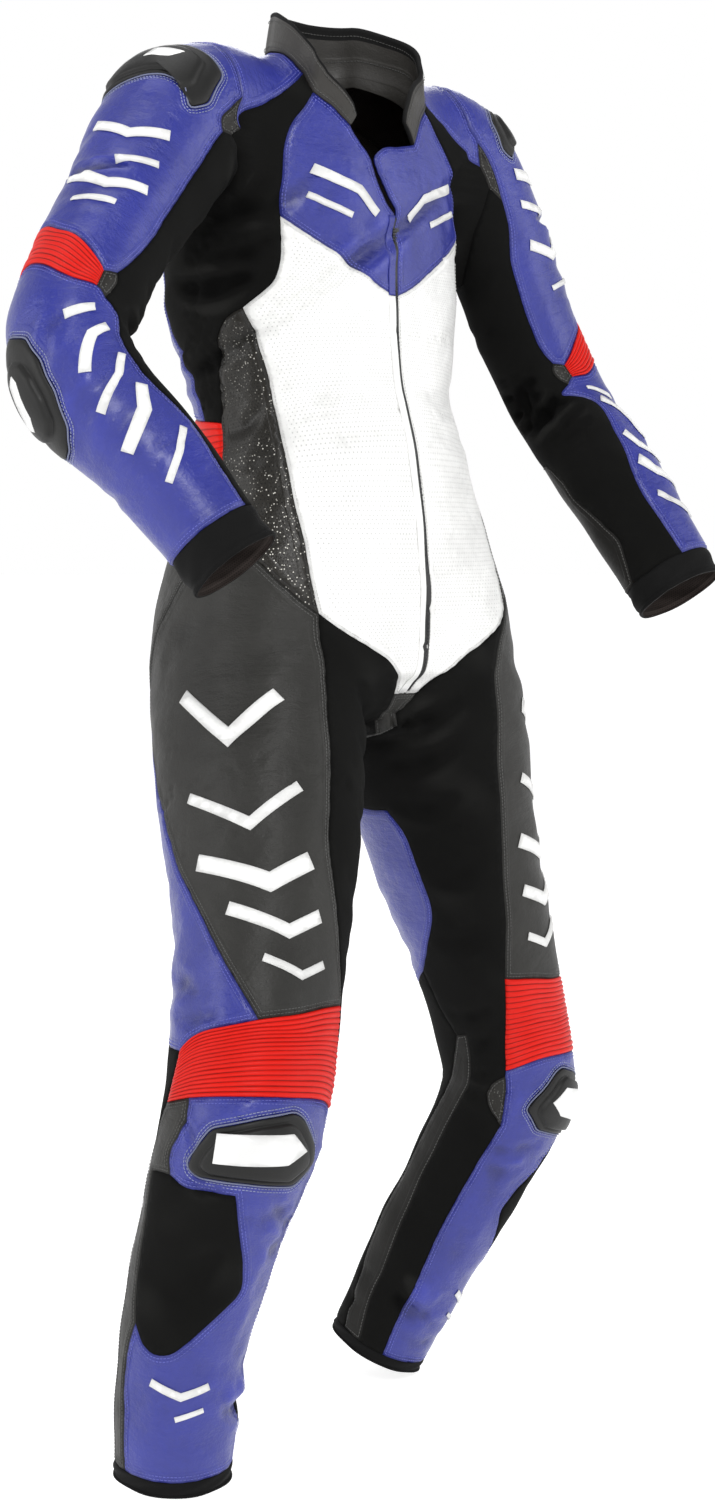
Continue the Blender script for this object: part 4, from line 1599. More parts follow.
class Finish:
    """A material with one Principled shader, and short ways to add nodes to it."""

    def __init__(self, name, roughness=0.5, **constants):
        self.material = bpy.data.materials.new(name)
        self.material.use_nodes = True
        self.tree = self.material.node_tree
        self.shader = self.tree.nodes["Principled BSDF"]
        self.shader.inputs["Roughness"].default_value = roughness
        for key, value in constants.items():
            self.shader.inputs[key.replace("_", " ")].default_value = value
        self.place = self.add("ShaderNodeTexCoord", out="Object")
        self.flat = self.add("ShaderNodeUVMap", {"uv_map": "UVMap"})

    def add(self, kind, settings=None, links=None, out=0):
        """Adds a node of a type; its settings come first, then its sockets' values or links."""
        node = self.tree.nodes.new(kind)
        for key, value in (settings or {}).items():
            if key == "stops":
                ramp = node.color_ramp
                for k, (at, tone) in enumerate(value):
                    stop = ramp.elements[k] if k < 2 else ramp.elements.new(at)
                    stop.position, stop.color = at, tone
            else:
                setattr(node, key, value)
        for key, value in (links or {}).items():
            socket = node.inputs[key]
            if isinstance(value, Value):
                self.tree.links.new(value.socket, socket)
            else:
                socket.default_value = value
        return Value(self, node.outputs[out])

    def maths(self, operation, *values):
        return self.add("ShaderNodeMath", {"operation": operation}, dict(enumerate(values)))

    def noise(self, scale, detail=2.0, rough=0.5, on=None):
        return self.add("ShaderNodeTexNoise", None,
                        {"Vector": on or self.place, "Scale": scale, "Detail": detail,
                         "Roughness": rough}, "Fac")

    def cells(self, scale, feature="F1", on=None, out="Distance", spread=1.0):
        return self.add("ShaderNodeTexVoronoi", {"feature": feature},
                        {"Vector": on or self.place, "Scale": scale, "Randomness": spread}, out)

    def attribute(self, name):
        return self.add("ShaderNodeAttribute", {"attribute_name": name}, out="Fac")

    def map_range(self, value, low, high, to_low=0.0, to_high=1.0):
        return self.add("ShaderNodeMapRange", {"clamp": True, "interpolation_type": "SMOOTHSTEP"},
                        {"Value": value, "From Min": low, "From Max": high, "To Min": to_low,
                         "To Max": to_high}, "Result")

    def mix(self, share, a, b):
        """A colour part way from one to another."""
        return self.add("ShaderNodeMix", {"data_type": "RGBA"}, {0: share, 6: a, 7: b}, 2)

    def parts(self, vector):
        node = self.tree.nodes.new("ShaderNodeSeparateXYZ")
        self.tree.links.new(vector.socket, node.inputs[0])
        return [Value(self, output) for output in node.outputs]

    def feed(self, name, value):
        self.tree.links.new(value.socket, self.shader.inputs[name])

    def bump(self, height, distance=0.001, strength=1.0):
        node = self.add("ShaderNodeBump", None, {"Height": height, "Distance": distance,
                                                 "Strength": strength}, "Normal")
        self.feed("Normal", node)


def tint(colour, by):
    return tuple(min(1.0, channel * by) for channel in colour[:3]) + (1.0,)


def holes(finish, pitch, size):
    """Round holes on a triangular grid over the flat map: 1 in a hole, 0 between."""
    u, v, _ = finish.parts(finish.flat)
    found = None
    for shift in (0.0, 0.5):
        a = finish.maths("FRACT", u / pitch + shift + 200.0) - 0.5
        b = finish.maths("FRACT", v / (pitch * 1.732) + shift + 200.0) - 0.5
        away = finish.maths("SQRT", a * a + b * b * 3.0)
        dot = finish.map_range(away, size * 0.75, size, 1.0, 0.0)
        found = dot if found is None else finish.maths("MAXIMUM", found, dot)
    return found


def leather(name, colour, roughness, grain=1.0, perforated=None, speckle=None, front_only=False,
            wear=0.0, coat=0.0, soft=1.0, shine=0.42, shade=1.0, relief=0.55):
    """Grained hide: pebbled cells, slow colour drift, a darker groove at seams, polished folds."""
    finish = Finish(name, roughness, Specular_IOR_Level=shine, Coat_Roughness=0.25)
    finish.shader.inputs["Coat Weight"].default_value = coat
    slow = finish.noise(7.0, 3.0, 0.6)
    mid = finish.noise(24.0, 4.0, 0.6)
    drawn = finish.add("ShaderNodeVectorMath", {"operation": "MULTIPLY"},
                       {0: finish.flat, 1: (0.38, 1.0, 1.0)})
    wrinkle = finish.noise(95.0, 5.0, 0.68, drawn)
    dip = finish.attribute("dip")
    fine = finish.noise(160.0, 4.0, 0.65)
    pebble = finish.cells(620.0, "SMOOTH_F1")
    creases = finish.cells(210.0, "DISTANCE_TO_EDGE")
    crease = finish.map_range(creases, 0.0, 0.09, 1.0, 0.0)
    edge = finish.attribute("edge")
    near_seam = finish.map_range(edge, 0.0004, 0.0042, 1.0, 0.0)
    tone = slow * 0.4 + mid * 0.35 + fine * 0.25
    base = finish.mix(finish.map_range(tone, 0.32, 0.68), tint(colour, 0.86), tint(colour, 1.14))
    base = finish.mix(near_seam * 0.38, base, tint(colour, 0.55))
    base = finish.mix(finish.map_range(dip, 0.08, 0.9) * 0.6 * shade, base, tint(colour, 0.35))
    base = finish.mix(finish.map_range(dip, -0.04, -0.5) * 0.45 * shade, base, tint(colour, 1.6))
    lap = finish.map_range(edge, 0.0085, 0.0105, 1.0, 0.0)
    height = (1.0 - pebble) * 0.16 * grain + fine * 0.22 * grain - crease * 0.05 * grain
    gathered = finish.map_range(slow, 0.38, 0.62, 0.5, 1.6) + finish.map_range(dip, 0.0, 0.5)
    height = height + (mid * 3.8 + wrinkle * gathered * 2.2) * soft + lap * 0.45
    rough = roughness + (fine - 0.5) * 0.16 + near_seam * 0.10 - (mid - 0.5) * 0.26
    if wear:
        scuffs = finish.map_range(finish.noise(46.0, 5.0, 0.75), 0.60, 0.74)
        base = finish.mix(scuffs * wear, base, tint(colour, 1.5))
        rough = rough + scuffs * 0.12
    if perforated:
        pitch, size, fade_to = perforated
        hole = holes(finish, pitch, size)
        away = finish.map_range(edge, 0.006, 0.011)
        hole = hole * away
        base = finish.mix(hole * fade_to, base, tint(colour, 0.10))
        height = height - hole * 0.35
    if speckle:
        glint = finish.cells(290.0, "F1")
        chips = finish.map_range(glint, 0.12, 0.27, 1.0, 0.0)
        patchy = finish.map_range(finish.noise(15.0, 3.0, 0.7), 0.36, 0.54)
        chips = chips * patchy
        if front_only:
            x, y, z = finish.parts(finish.place)
            chips = chips * finish.map_range(y, 0.045, -0.065)
        base = finish.mix(chips, base, speckle + (1.0,))
        height = height + chips * 0.30
        rough = rough - chips * 0.10
    finish.feed("Base Color", base)
    finish.feed("Roughness", rough)
    finish.bump(height, 0.0012, relief)
    return finish.material


def stretch(name, colour, roughness=0.86, rib=0.0011, deep=0.3):
    """Matt stretch weave: fine ribs along the map, crossed by a finer thread, with a dusty sheen."""
    finish = Finish(name, roughness, Specular_IOR_Level=0.07, Sheen_Weight=0.008, Sheen_Roughness=0.5)
    u, v, _ = finish.parts(finish.flat)
    across = finish.maths("SINE", u * (2 * math.pi / rib))
    down = finish.maths("SINE", v * (2 * math.pi / (rib * 0.8)))
    slow = finish.noise(9.0, 3.0, 0.6)
    fuzz = finish.noise(700.0, 3.0, 0.7)
    edge = finish.attribute("edge")
    near_seam = finish.map_range(edge, 0.0004, 0.004, 1.0, 0.0)
    weave = across * down
    base = finish.mix(finish.map_range(slow, 0.34, 0.66), tint(colour, 0.86), tint(colour, 1.16))
    base = finish.mix(finish.map_range(weave, -1.0, 1.0) * 0.35, base, tint(colour, 1.5))
    base = finish.mix(near_seam * 0.4, base, tint(colour, 0.6))
    dip = finish.attribute("dip")
    base = finish.mix(finish.map_range(dip, 0.06, 0.8) * 0.85, base, tint(colour, 0.15))
    base = finish.mix(finish.map_range(dip, -0.04, -0.45) * 0.5, base, tint(colour, 4.5))
    finish.feed("Base Color", base)
    finish.feed("Roughness", roughness + (fuzz - 0.5) * 0.14)
    finish.bump(weave * 0.16 + fuzz * 0.34, 0.0009, deep)
    return finish.material


def ribbed(name, colour, roughness):
    """Soft gathered leather: bright on each crest, deep between them, with fine cross wrinkles."""
    finish = Finish(name, roughness, Specular_IOR_Level=0.20)
    crest = finish.attribute("crest")
    slow = finish.noise(11.0, 3.0, 0.6)
    fine = finish.noise(240.0, 4.0, 0.65)
    wrinkle = finish.noise(95.0, 4.0, 0.7)
    base = finish.mix(finish.map_range(crest, 0.12, 0.70), tint(colour, 0.22), tint(colour, 1.0))
    base = finish.mix(finish.map_range(slow, 0.35, 0.65) * 0.25, base, tint(colour, 1.25))
    finish.feed("Base Color", base)
    finish.feed("Roughness", roughness + (fine - 0.5) * 0.2 + (1.0 - crest) * 0.16)
    finish.bump(fine * 0.3 + wrinkle * 0.3, 0.0010, 0.4)
    return finish.material


def moulded(name, colour, roughness, grain=420.0, coat=0.0, shine=0.5):
    """Moulded plastic: a fine spark-eroded grain, faint scuffs and a slightly paler worn edge."""
    finish = Finish(name, roughness, Specular_IOR_Level=shine, Coat_Roughness=0.2)
    finish.shader.inputs["Coat Weight"].default_value = coat
    fine = finish.noise(grain, 3.0, 0.6)
    slow = finish.noise(12.0, 3.0, 0.6)
    scuff = finish.map_range(finish.noise(75.0, 5.0, 0.8), 0.62, 0.76)
    base = finish.mix(finish.map_range(slow, 0.35, 0.65), tint(colour, 0.9), tint(colour, 1.12))
    base = finish.mix(scuff * 0.22, base, tint(colour, 1.7))
    finish.feed("Base Color", base)
    finish.feed("Roughness", roughness + (fine - 0.5) * 0.22 + scuff * 0.12)
    finish.bump(fine, 0.0004, 0.45)
    return finish.material


def thread(name, colour):
    """Twisted thread: slanting strands and a tone of its own for each stitch."""
    finish = Finish(name, 0.62, Specular_IOR_Level=0.4)
    u, v, _ = finish.parts(finish.flat)
    strand = finish.maths("SINE", (u + v) * 9000.0)
    tone = finish.attribute("edge")
    base = finish.mix(tone, tint(colour, 0.86), tint(colour, 1.12))
    finish.feed("Base Color", base)
    finish.bump(strand, 0.0002, 0.5)
    return finish.material


def lining(name, colour):
    """Open mesh lining: small dark holes on a grid, over a soft brushed cloth."""
    finish = Finish(name, 0.85, Specular_IOR_Level=0.2)
    hole = holes(finish, 0.0026, 0.30)
    slow = finish.noise(10.0, 3.0, 0.6)
    base = finish.mix(finish.map_range(slow, 0.35, 0.65), tint(colour, 0.8), tint(colour, 1.2))
    base = finish.mix(hole * 0.7, base, tint(colour, 0.25))
    finish.feed("Base Color", base)
    finish.bump(1.0 - hole, 0.0006, 0.5)
    return finish.material


def make_finishes():
    """Every finish of the suit, from the colours in the panel."""
    settings = bpy.context.scene.race_suit
    blue, white, grey = settings.blue, settings.white, settings.grey
    STORE["finish"] = {
        "blue_leather": leather("blue_leather", blue, settings.leather_gloss, 1.0, wear=0.10,
                                coat=0.30, relief=0.85),
        "white_leather": leather("white_leather", white, settings.leather_gloss + 0.03, 0.8,
                                 perforated=(0.0046, 0.17, 0.34), soft=0.45, shade=0.12),
        "white_trim": leather("white_trim", white, settings.leather_gloss, 0.8, soft=0.3,
                              shade=0.12),
        "grey_leather": leather("grey_leather", grey, settings.leather_gloss + 0.08, 1.1, soft=0.7,
                                shine=0.26),
        "side_leather": leather("side_leather", (0.016, 0.0145, 0.012), 0.36, 1.5,
                                perforated=(0.0040, 0.20, 0.9), speckle=(0.66, 0.64, 0.58),
                                front_only=True, soft=0.12,
                                shine=0.30),
        "patch_leather": leather("patch_leather", (0.017, 0.016, 0.014), 0.50, 2.2,
                                 perforated=(0.0030, 0.26, 0.9), speckle=(0.13, 0.13, 0.12),
                                 soft=0.3, shine=0.22),
        "strip_leather": leather("strip_leather", (0.010, 0.0095, 0.0085), 0.52, 1.0, soft=0.4,
                                 shine=0.16),
        "collar_leather": leather("collar_leather", (0.034, 0.032, 0.029), 0.46, 1.0, soft=0.5,
                                  shine=0.28),
        "collar_edge": stretch("collar_edge", (0.010, 0.010, 0.010), 0.7),
        "black_stretch": stretch("black_stretch", settings.black),
        "black_band": stretch("black_band", (0.006, 0.006, 0.006), 0.72, 0.0016, 0.4),
        "red_ribs": ribbed("red_ribs", settings.red, 0.42),
        "black_armour": moulded("black_armour", (0.011, 0.011, 0.0105), 0.46, shine=0.26),
        "white_plate": moulded("white_plate", (0.78, 0.78, 0.77), 0.34, coat=0.2),
        "zip": moulded("zip", (0.010, 0.010, 0.011), 0.42, 900.0),
        "piping": thread("piping", (0.19, 0.21, 0.33)),
        "lining": lining("lining", (0.034, 0.026, 0.023)),
        "thread_blue": thread("thread_blue", (0.10, 0.11, 0.42)),
        "thread_white": thread("thread_white", (0.66, 0.66, 0.64)),
        "thread_grey": thread("thread_grey", (0.075, 0.075, 0.072)),
        "thread_light": thread("thread_light", (0.24, 0.26, 0.42)),
        "thread_black": thread("thread_black", (0.022, 0.022, 0.022)),
    }
    return STORE["finish"]


def place(obj, slot, *nodes):
    """Hangs a piece on the suit's one body, names its slot and the solids that it stands for."""
    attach(obj, "root")
    if nodes:
        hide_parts(*nodes)
    return obj


# ---- which panels there are ----
# one of each side: (limb, wall, finish, seams in order round it)
SIDE_PANELS = {
    "chest": ("torso", LEATHER, "blue_leather",
              "neck_chest neck_front zip_chest chest_hem chest_side"),
    "front": ("torso", LEATHER, "white_leather",
              "chest_hem zip_front zip_foot hip_front white_low white_top"),
    "stretch_chest": ("torso", STRETCH, "black_stretch",
                      "neck_stretch chest_side white_top side_top side_rear_top lumbar_step "
                      "back_side armhole_under gusset_chest yoke_front"),
    "side": ("torso", LEATHER, "side_leather",
             "side_top white_low hip_side side_rear_low lumbar_end side_rear_top"),
    "yoke": ("arm", LEATHER, "blue_leather",
             "neck_yoke yoke_front gusset_yoke armhole_top yoke_rear"),
    "gusset": ("arm", LEATHER, "grey_leather",
               "gusset_yoke gusset_chest gusset_inner gusset_outer"),
    "sleeve_upper": ("arm", LEATHER, "blue_leather",
                     "gusset_outer sleeve_front elbow_patch_top elbow_top sleeve_rear "
                     "armhole_top"),
    "stretch_sleeve": ("arm", STRETCH, "black_stretch",
                       "gusset_inner sleeve_front elbow_patch_in forearm_front cuff_stretch "
                       "strip_inner forearm_rear elbow_outer sleeve_rear armhole_back "
                       "armhole_under"),
    "elbow_ribs": ("arm", STRETCH, "red_ribs", "elbow_top elbow_inner elbow_low elbow_outer"),
    "elbow_patch": ("arm", LEATHER, "grey_leather",
                    "elbow_patch_top elbow_patch_in elbow_patch_low elbow_inner"),
    "forearm": ("arm", LEATHER, "blue_leather",
                "elbow_low elbow_patch_low forearm_front cuff_forearm forearm_back "
                "forearm_rear"),
    "forearm_strip": ("arm", LEATHER, "grey_leather", "strip_inner cuff_strip forearm_back"),
    "thigh": ("leg", LEATHER, "grey_leather",
              "thigh_front ribs_top_front thigh_diagonal hip_rear hip_side"),
    "stretch_leg": ("leg", STRETCH, "black_stretch",
                    "thigh_front ribs_inner knee_corner patch_rear shin_inner ankle_stretch "
                    "strip_front strip_tip calf_inner_top thigh_inner thigh_back_top "
                    "seat_inner crotch_side hip_front"),
    "thigh_back": ("leg", LEATHER, "blue_leather",
                   "seat_thigh thigh_back_top thigh_inner knee_back ribs_top_side "
                   "thigh_diagonal"),
    "knee_ribs": ("leg", STRETCH, "red_ribs",
                  "ribs_top_side ribs_top_front ribs_inner ribs_low_front ribs_low_side "
                  "ribs_outer"),
    "knee_patch": ("leg", LEATHER, "grey_leather", "patch_front patch_rear"),
    "shin": ("leg", LEATHER, "blue_leather",
             "ribs_low_front knee_corner patch_front shin_inner ankle_shin shin_outer "
             "calf_front calf_top knee_outer"),
    "calf_stretch": ("leg", STRETCH, "black_stretch",
                     "calf_top calf_front calf_rear calf_top_out"),
    "calf_back": ("leg", STRETCH, "black_stretch",
                  "knee_back ribs_outer outer_rear ankle_calf strip_back calf_inner_top"),
    "inner_strip": ("leg", LEATHER, "grey_leather",
                    "strip_tip strip_front ankle_inner strip_back"),
    "outer_strip": ("leg", LEATHER, "grey_leather",
                    "ribs_low_side outer_rear ankle_outer shin_outer calf_rear calf_top_out "
                    "knee_outer"),
}
MIDDLE_PANELS = {
    "back": ("torso", LEATHER, "blue_leather",
             "neck_back yoke_rear_L armhole_back_L back_side_L lumbar_top back_side_R "
             "armhole_back_R yoke_rear_R"),
    "lumbar_ribs": ("torso", STRETCH, "red_ribs",
                    "lumbar_step_R lumbar_top lumbar_step_L lumbar_end_L lumbar_low "
                    "lumbar_end_R"),
    "seat": ("hips", LEATHER, "grey_leather",
             "lumbar_low side_rear_low_L hip_rear_L seat_thigh_L seat_inner_L crotch_rear "
             "seat_inner_R seat_thigh_R hip_rear_R side_rear_low_R"),
    "crotch_piece": ("hips", LEATHER, "grey_leather",
                     "zip_foot_R zip_end zip_foot_L crotch_side_L crotch_rear crotch_side_R"),
}
ARMOUR_IN = {"sleeve_upper": "shoulder_armour", "forearm": "elbow_armour", "shin": "knee_armour"}
# bands: (limb, wall, station of the free edge, seams round it)
BANDS = {
    "cuff": ("arm", LEATHER, 6.13, "cuff_forearm cuff_strip cuff_stretch"),
    "ankle_band": ("leg", LEATHER, 8.86,
                   "ankle_shin ankle_outer ankle_calf ankle_inner ankle_stretch"),
}
# collar: share of the way round from the right tip, height, lean inwards
COLLAR_ROWS = [(0.0, 0.018, 0.001), (0.05, 0.023, 0.002), (0.14, 0.028, 0.004),
               (0.30, 0.038, 0.006), (0.42, 0.046, 0.008), (0.55, 0.044, 0.010),
               (0.70, 0.039, 0.010), (0.88, 0.036, 0.006), (1.0, 0.033, 0.001)]
# ribs: seams above, seams below, seams at the two sides, how many, height
RIBS = {
    "knee_ribs": (["ribs_top_side", "ribs_top_front"], ["ribs_low_side", "ribs_low_front"],
                  "ribs_inner", "ribs_outer", 17, 0.0016),
    "elbow_ribs": (["elbow_top"], ["elbow_low"], "elbow_inner", "elbow_outer", 8, 0.0015),
    "lumbar_ribs": (["lumbar_step_R", "lumbar_top", "lumbar_step_L"], ["lumbar_low"],
                    "lumbar_end_R", "lumbar_end_L", 9, 0.0015),
}
# thread colour and rows of stitches, metres in from the seam, for each finish
STITCHING = {
    "blue_leather": ("blue", (0.0028, 0.0060)),
    "white_leather": ("white", (0.0028,)),
    "grey_leather": ("grey", (0.0028, 0.0060)),
    "side_leather": ("black", (0.0030,)),
}
# panels cut from a darker or a textured hide of their own
LOOKS = {"gusset": "patch_leather", "elbow_patch": "patch_leather", "knee_patch": "patch_leather",
         "inner_strip": "strip_leather", "forearm_strip": "strip_leather"}


def panels_of(finishes):
    """Name, limb, wall, finish and loop of every panel in some finishes, on both sides."""
    found = []
    for name, (host, wall, finish, loop) in SIDE_PANELS.items():
        if finish in finishes:
            for side in "RL":
                full = host if host in LIMBS else host + "_" + side
                names = [seam + "_" + side for seam in loop.split()]
                found.append((name + "_" + side, full, wall, finish, names))
    for name, (host, wall, finish, loop) in MIDDLE_PANELS.items():
        if finish in finishes:
            found.append((name, host, wall, finish, loop.split()))
    return [row for row in found if "ribs" not in row[3]]


def build_panels(finishes, suffix, puckers=1.0):
    seams = store()["seams"]
    finish = STORE["finish"]
    for name, host, wall, slot, names in panels_of(finishes):
        ring, outs = chain([seams[each] for each in names])
        holes = []
        base = name.rsplit("_", 1)[0] if name.endswith(("_R", "_L")) else name
        if base in ARMOUR_IN:
            hole, hole_outs, _ = armour_outline(ARMOUR_IN[base], name[-1])
            holes.append((hole, hole_outs))
        look = finish[LOOKS.get(base, slot)]
        materials = [look, look if slot == "black_stretch" else finish["lining"]]
        obj, _ = cloth_panel(name + suffix, host, ring, outs, holes, wall, materials, puckers)
        place(obj, slot, name)
        if slot in STITCHING:
            colour, offsets = STITCHING[slot]
            stitch_panel(colour, ring, outs, offsets[:1] if base in LOOKS else offsets)
        for hole, hole_outs in holes:
            for offset in (0.0042, 0.0070):
                moved = wall_ring(hole, hole_outs, -offset)
                note_stitches("light", moved, hole_outs, True)


# ---- the stage ----
EYE = (-1.8235, -1.7776, 0.9748)
EYE_RIGHT = (0.69466, -0.71934, 0.0)
EYE_UP = (0.06204, 0.05991, 0.99627)
EYE_BACK = (-0.71666, -0.69207, 0.08624)
# focal length in pixels of a frame 1500 pixels high
EYE_REACH = 2436.87


def soft_light(name, spot, towards, size, power, colour=(1.0, 1.0, 1.0)):
    data = bpy.data.lights.new(name, "AREA")
    data.shape = "RECTANGLE"
    data.size, data.size_y = size
    data.energy = power
    data.color = colour
    light = bpy.data.objects.new(name, data)
    light.location = spot
    aim = Vector(towards) - Vector(spot)
    light.rotation_euler = aim.to_track_quat("-Z", "Y").to_euler()
    light.visible_camera = False
    bpy.context.scene.collection.objects.link(light)
    return light


def build_stage():
    scene = bpy.context.scene
    low = min(corner[2] for corner in CAD_BOX) - 0.004
    reach = np.array([0.0, 3.0, 8.0, 20.0, 60.0])
    turn = np.linspace(0, 2 * math.pi, 49)[:-1]
    verts = np.stack([(reach[:, None] * np.cos(turn)).ravel(), (reach[:, None] * np.sin(turn)).ravel(),
                      np.full(len(reach) * 48, low)], 1)
    faces = [(0, 48 + k, 48 + (k + 1) % 48) for k in range(48)]
    faces += [(r * 48 + k, (r + 1) * 48 + k, (r + 1) * 48 + (k + 1) % 48, r * 48 + (k + 1) % 48)
              for r in range(1, len(reach) - 1) for k in range(48)]
    mesh = bpy.data.meshes.new("floor")
    mesh.from_pydata(verts.tolist(), [], faces)
    floor = bpy.data.objects.new("floor", mesh)
    scene.collection.objects.link(floor)
    finish = Finish("pale_floor", 0.6, Specular_IOR_Level=0.2)
    finish.shader.inputs["Base Color"].default_value = (0.60, 0.60, 0.60, 1.0)
    finish.shader.inputs["Emission Color"].default_value = (1.0, 1.0, 1.0, 1.0)
    finish.shader.inputs["Emission Strength"].default_value = 0.78
    mesh.materials.append(finish.material)
    soft_light("key_softbox", (-2.4, -3.0, 2.3), (0.0, 0.0, -0.5), (1.4, 1.8), 100)
    soft_light("fill_softbox", (2.6, -3.2, 0.9), (0.0, 0.0, -0.6), (1.6, 2.4), 30)
    soft_light("side_softbox", (-3.4, 1.6, 0.9), (0.0, 0.0, -0.6), (1.0, 2.8), 34)
    soft_light("back_softbox", (2.8, 2.8, 1.6), (0.0, 0.0, -0.5), (1.6, 2.2), 34)
    soft_light("top_softbox", (0.0, 0.6, 3.2), (0.0, 0.0, 0.0), (2.4, 2.4), 34)
    world = scene.world or bpy.data.worlds.new("studio")
    scene.world = world
    world.use_nodes = True
    sky = world.node_tree
    shade = sky.nodes["Background"]
    ramp = sky.nodes.new("ShaderNodeValToRGB")
    parts = sky.nodes.new("ShaderNodeSeparateXYZ")
    ramp.color_ramp.elements[0].position, ramp.color_ramp.elements[1].position = 0.26, 0.75
    ramp.color_ramp.elements[0].color = (1.0, 1.0, 1.0, 1.0)
    ramp.color_ramp.elements[1].color = (0.24, 0.24, 0.25, 1.0)
    sky.links.new(sky.nodes.new("ShaderNodeTexCoord").outputs["Generated"], parts.inputs[0])
    sky.links.new(parts.outputs["Z"], ramp.inputs[0])
    sky.links.new(ramp.outputs[0], shade.inputs["Color"])
    shade.inputs["Strength"].default_value = 1.0
    scene.view_settings.view_transform = "Standard"
    data = bpy.data.cameras.new("camera")
    data.sensor_fit = "VERTICAL"
    data.sensor_height = 36.0
    data.lens = 36.0 * EYE_REACH / 1500
    data.clip_end = 200.0
    camera = bpy.data.objects.new("camera", data)
    turn = Matrix((EYE_RIGHT, EYE_UP, EYE_BACK)).transposed()
    camera.matrix_world = Matrix.Translation(Vector(EYE) - Vector(HELD_AT)) @ turn.to_4x4()
    scene.collection.objects.link(camera)
    scene.camera = camera


# ---- the add-on: what a user may change, one operator for each group, and a panel ----
def colour_property(name, text, default):
    return bpy.props.FloatVectorProperty(name=name, description=text, default=default, size=3,
                                         subtype="COLOR", min=0.0, max=1.0)


class RaceSuitSettings(bpy.types.PropertyGroup):
    """Colours and sizes of the suit."""

    blue: colour_property("Blue leather", "Colour of the blue panels", (0.017, 0.024, 0.225))
    white: colour_property("White leather", "Colour of the front and the bars", (0.80, 0.80, 0.785))
    grey: colour_property("Grey leather", "Colour of the thighs and the seat", (0.021, 0.0205, 0.0185))
    black: colour_property("Black stretch", "Colour of the stretch panels", (0.0045, 0.0045, 0.0042))
    red: colour_property("Red ribs", "Colour of the gathered panels", (0.60, 0.0065, 0.0015))
    leather_gloss: bpy.props.FloatProperty(name="Leather roughness", default=0.40, min=0.1, max=0.9,
                                           description="Lower is glossier")
    fold_strength: bpy.props.FloatProperty(name="Folds", default=2.0, min=0.0, max=3.0,
                                           description="How deep the folds are")
    stitch_length: bpy.props.FloatProperty(name="Stitch length", default=0.0027, min=0.001,
                                           max=0.006, unit="LENGTH",
                                           description="Length of one stitch")


class SUIT_OT_leather(bpy.types.Operator):
    """Cuts the smooth leather panels: chest, front, sides, yokes, sleeves, legs and back"""
    bl_idname = "suit.leather"
    bl_label = "Leather panels"

    def execute(self, context):
        make_finishes()
        build_panels(("blue_leather", "white_leather", "grey_leather", "side_leather"), "_hide")
        return {"FINISHED"}


class SUIT_OT_stretch(bpy.types.Operator):
    """Cuts the black stretch panels: under the arms, inner sleeves, inner legs and calves"""
    bl_idname = "suit.stretch"
    bl_label = "Stretch panels"

    def execute(self, context):
        build_panels(("black_stretch",), "_weave", puckers=0.7)
        return {"FINISHED"}


class SUIT_OT_ribs(bpy.types.Operator):
    """Gathers the red ribbed panels over the knees, the elbows and the lower back"""
    bl_idname = "suit.ribs"
    bl_label = "Ribbed panels"

    def execute(self, context):
        finish = STORE["finish"]
        for name, (top, low, left, right, count, height) in RIBS.items():
            if name == "lumbar_ribs":
                obj = ribbed_panel(name + "_gathered", "torso", (top, low, left, right), count,
                                   height, STRETCH, [finish["red_ribs"], finish["lining"]])
                place(obj, "red_ribs", name)
                continue
            host = SIDE_PANELS[name][0]
            for side in "RL":
                end = "_" + side
                sides = ([each + end for each in top], [each + end for each in low], left + end,
                         right + end)
                obj = ribbed_panel(name + end + "_gathered", host + end, sides, count, height,
                                   STRETCH, [finish["red_ribs"], finish["lining"]])
                place(obj, "red_ribs", name + end)
        return {"FINISHED"}


class SUIT_OT_bands(bpy.types.Operator):
    """Closes the sleeves and the legs with their black bands"""
    bl_idname = "suit.bands"
    bl_label = "Cuffs and ankle bands"

    def execute(self, context):
        finish = STORE["finish"]
        for name, (host, wall, far, loop) in BANDS.items():
            for side in "RL":
                ring, _ = chain([STORE["seams"][each + "_" + side] for each in loop.split()])
                obj = cloth_band(name + "_" + side + "_knit", host + "_" + side, ring, far, wall,
                                 [finish["black_band"], finish["lining"]])
                place(obj, "black_stretch", name + "_" + side)
        return {"FINISHED"}


class SUIT_OT_armour(bpy.types.Operator):
    """Moulds the shoulder, elbow and knee armour, with a plain white plate and piping on each"""
    bl_idname = "suit.armour"
    bl_label = "Armour"

    def execute(self, context):
        finish = STORE["finish"]
        for side in "RL":
            for name in ARMOUR_OUTLINES:
                obj = armour_piece(name, side, finish["black_armour"])
                obj.name = name + "_" + side + "_shell"
                place(obj, "black_armour", name + "_" + side)
                ring, outs, _ = armour_outline(name, side)
                moved = wall_ring(ring, outs, -0.0016)
                moved = moved + outs * (fold_rise(moved, outs) + 0.0006)[:, None]
                cord = tube(name + "_" + side + "_piping", moved, outs, 0.0009, finish["piping"])
                place(cord, "collar_leather")
            for name, (host, rows, base) in PLATES.items():
                where, flat = flat_rows(host, rows, side)
                if side == "L" and name == "shoulder_plate":
                    where, flat = flat_rows(host, [(a, s + 0.12) for a, s in rows], side)
                obj = raised_shape(name + "_" + side, where, flat, base - 0.0004, base + 0.0010,
                                   0.0007, finish["white_plate"], folded=False)
                place(obj, "white_leather")
        return {"FINISHED"}


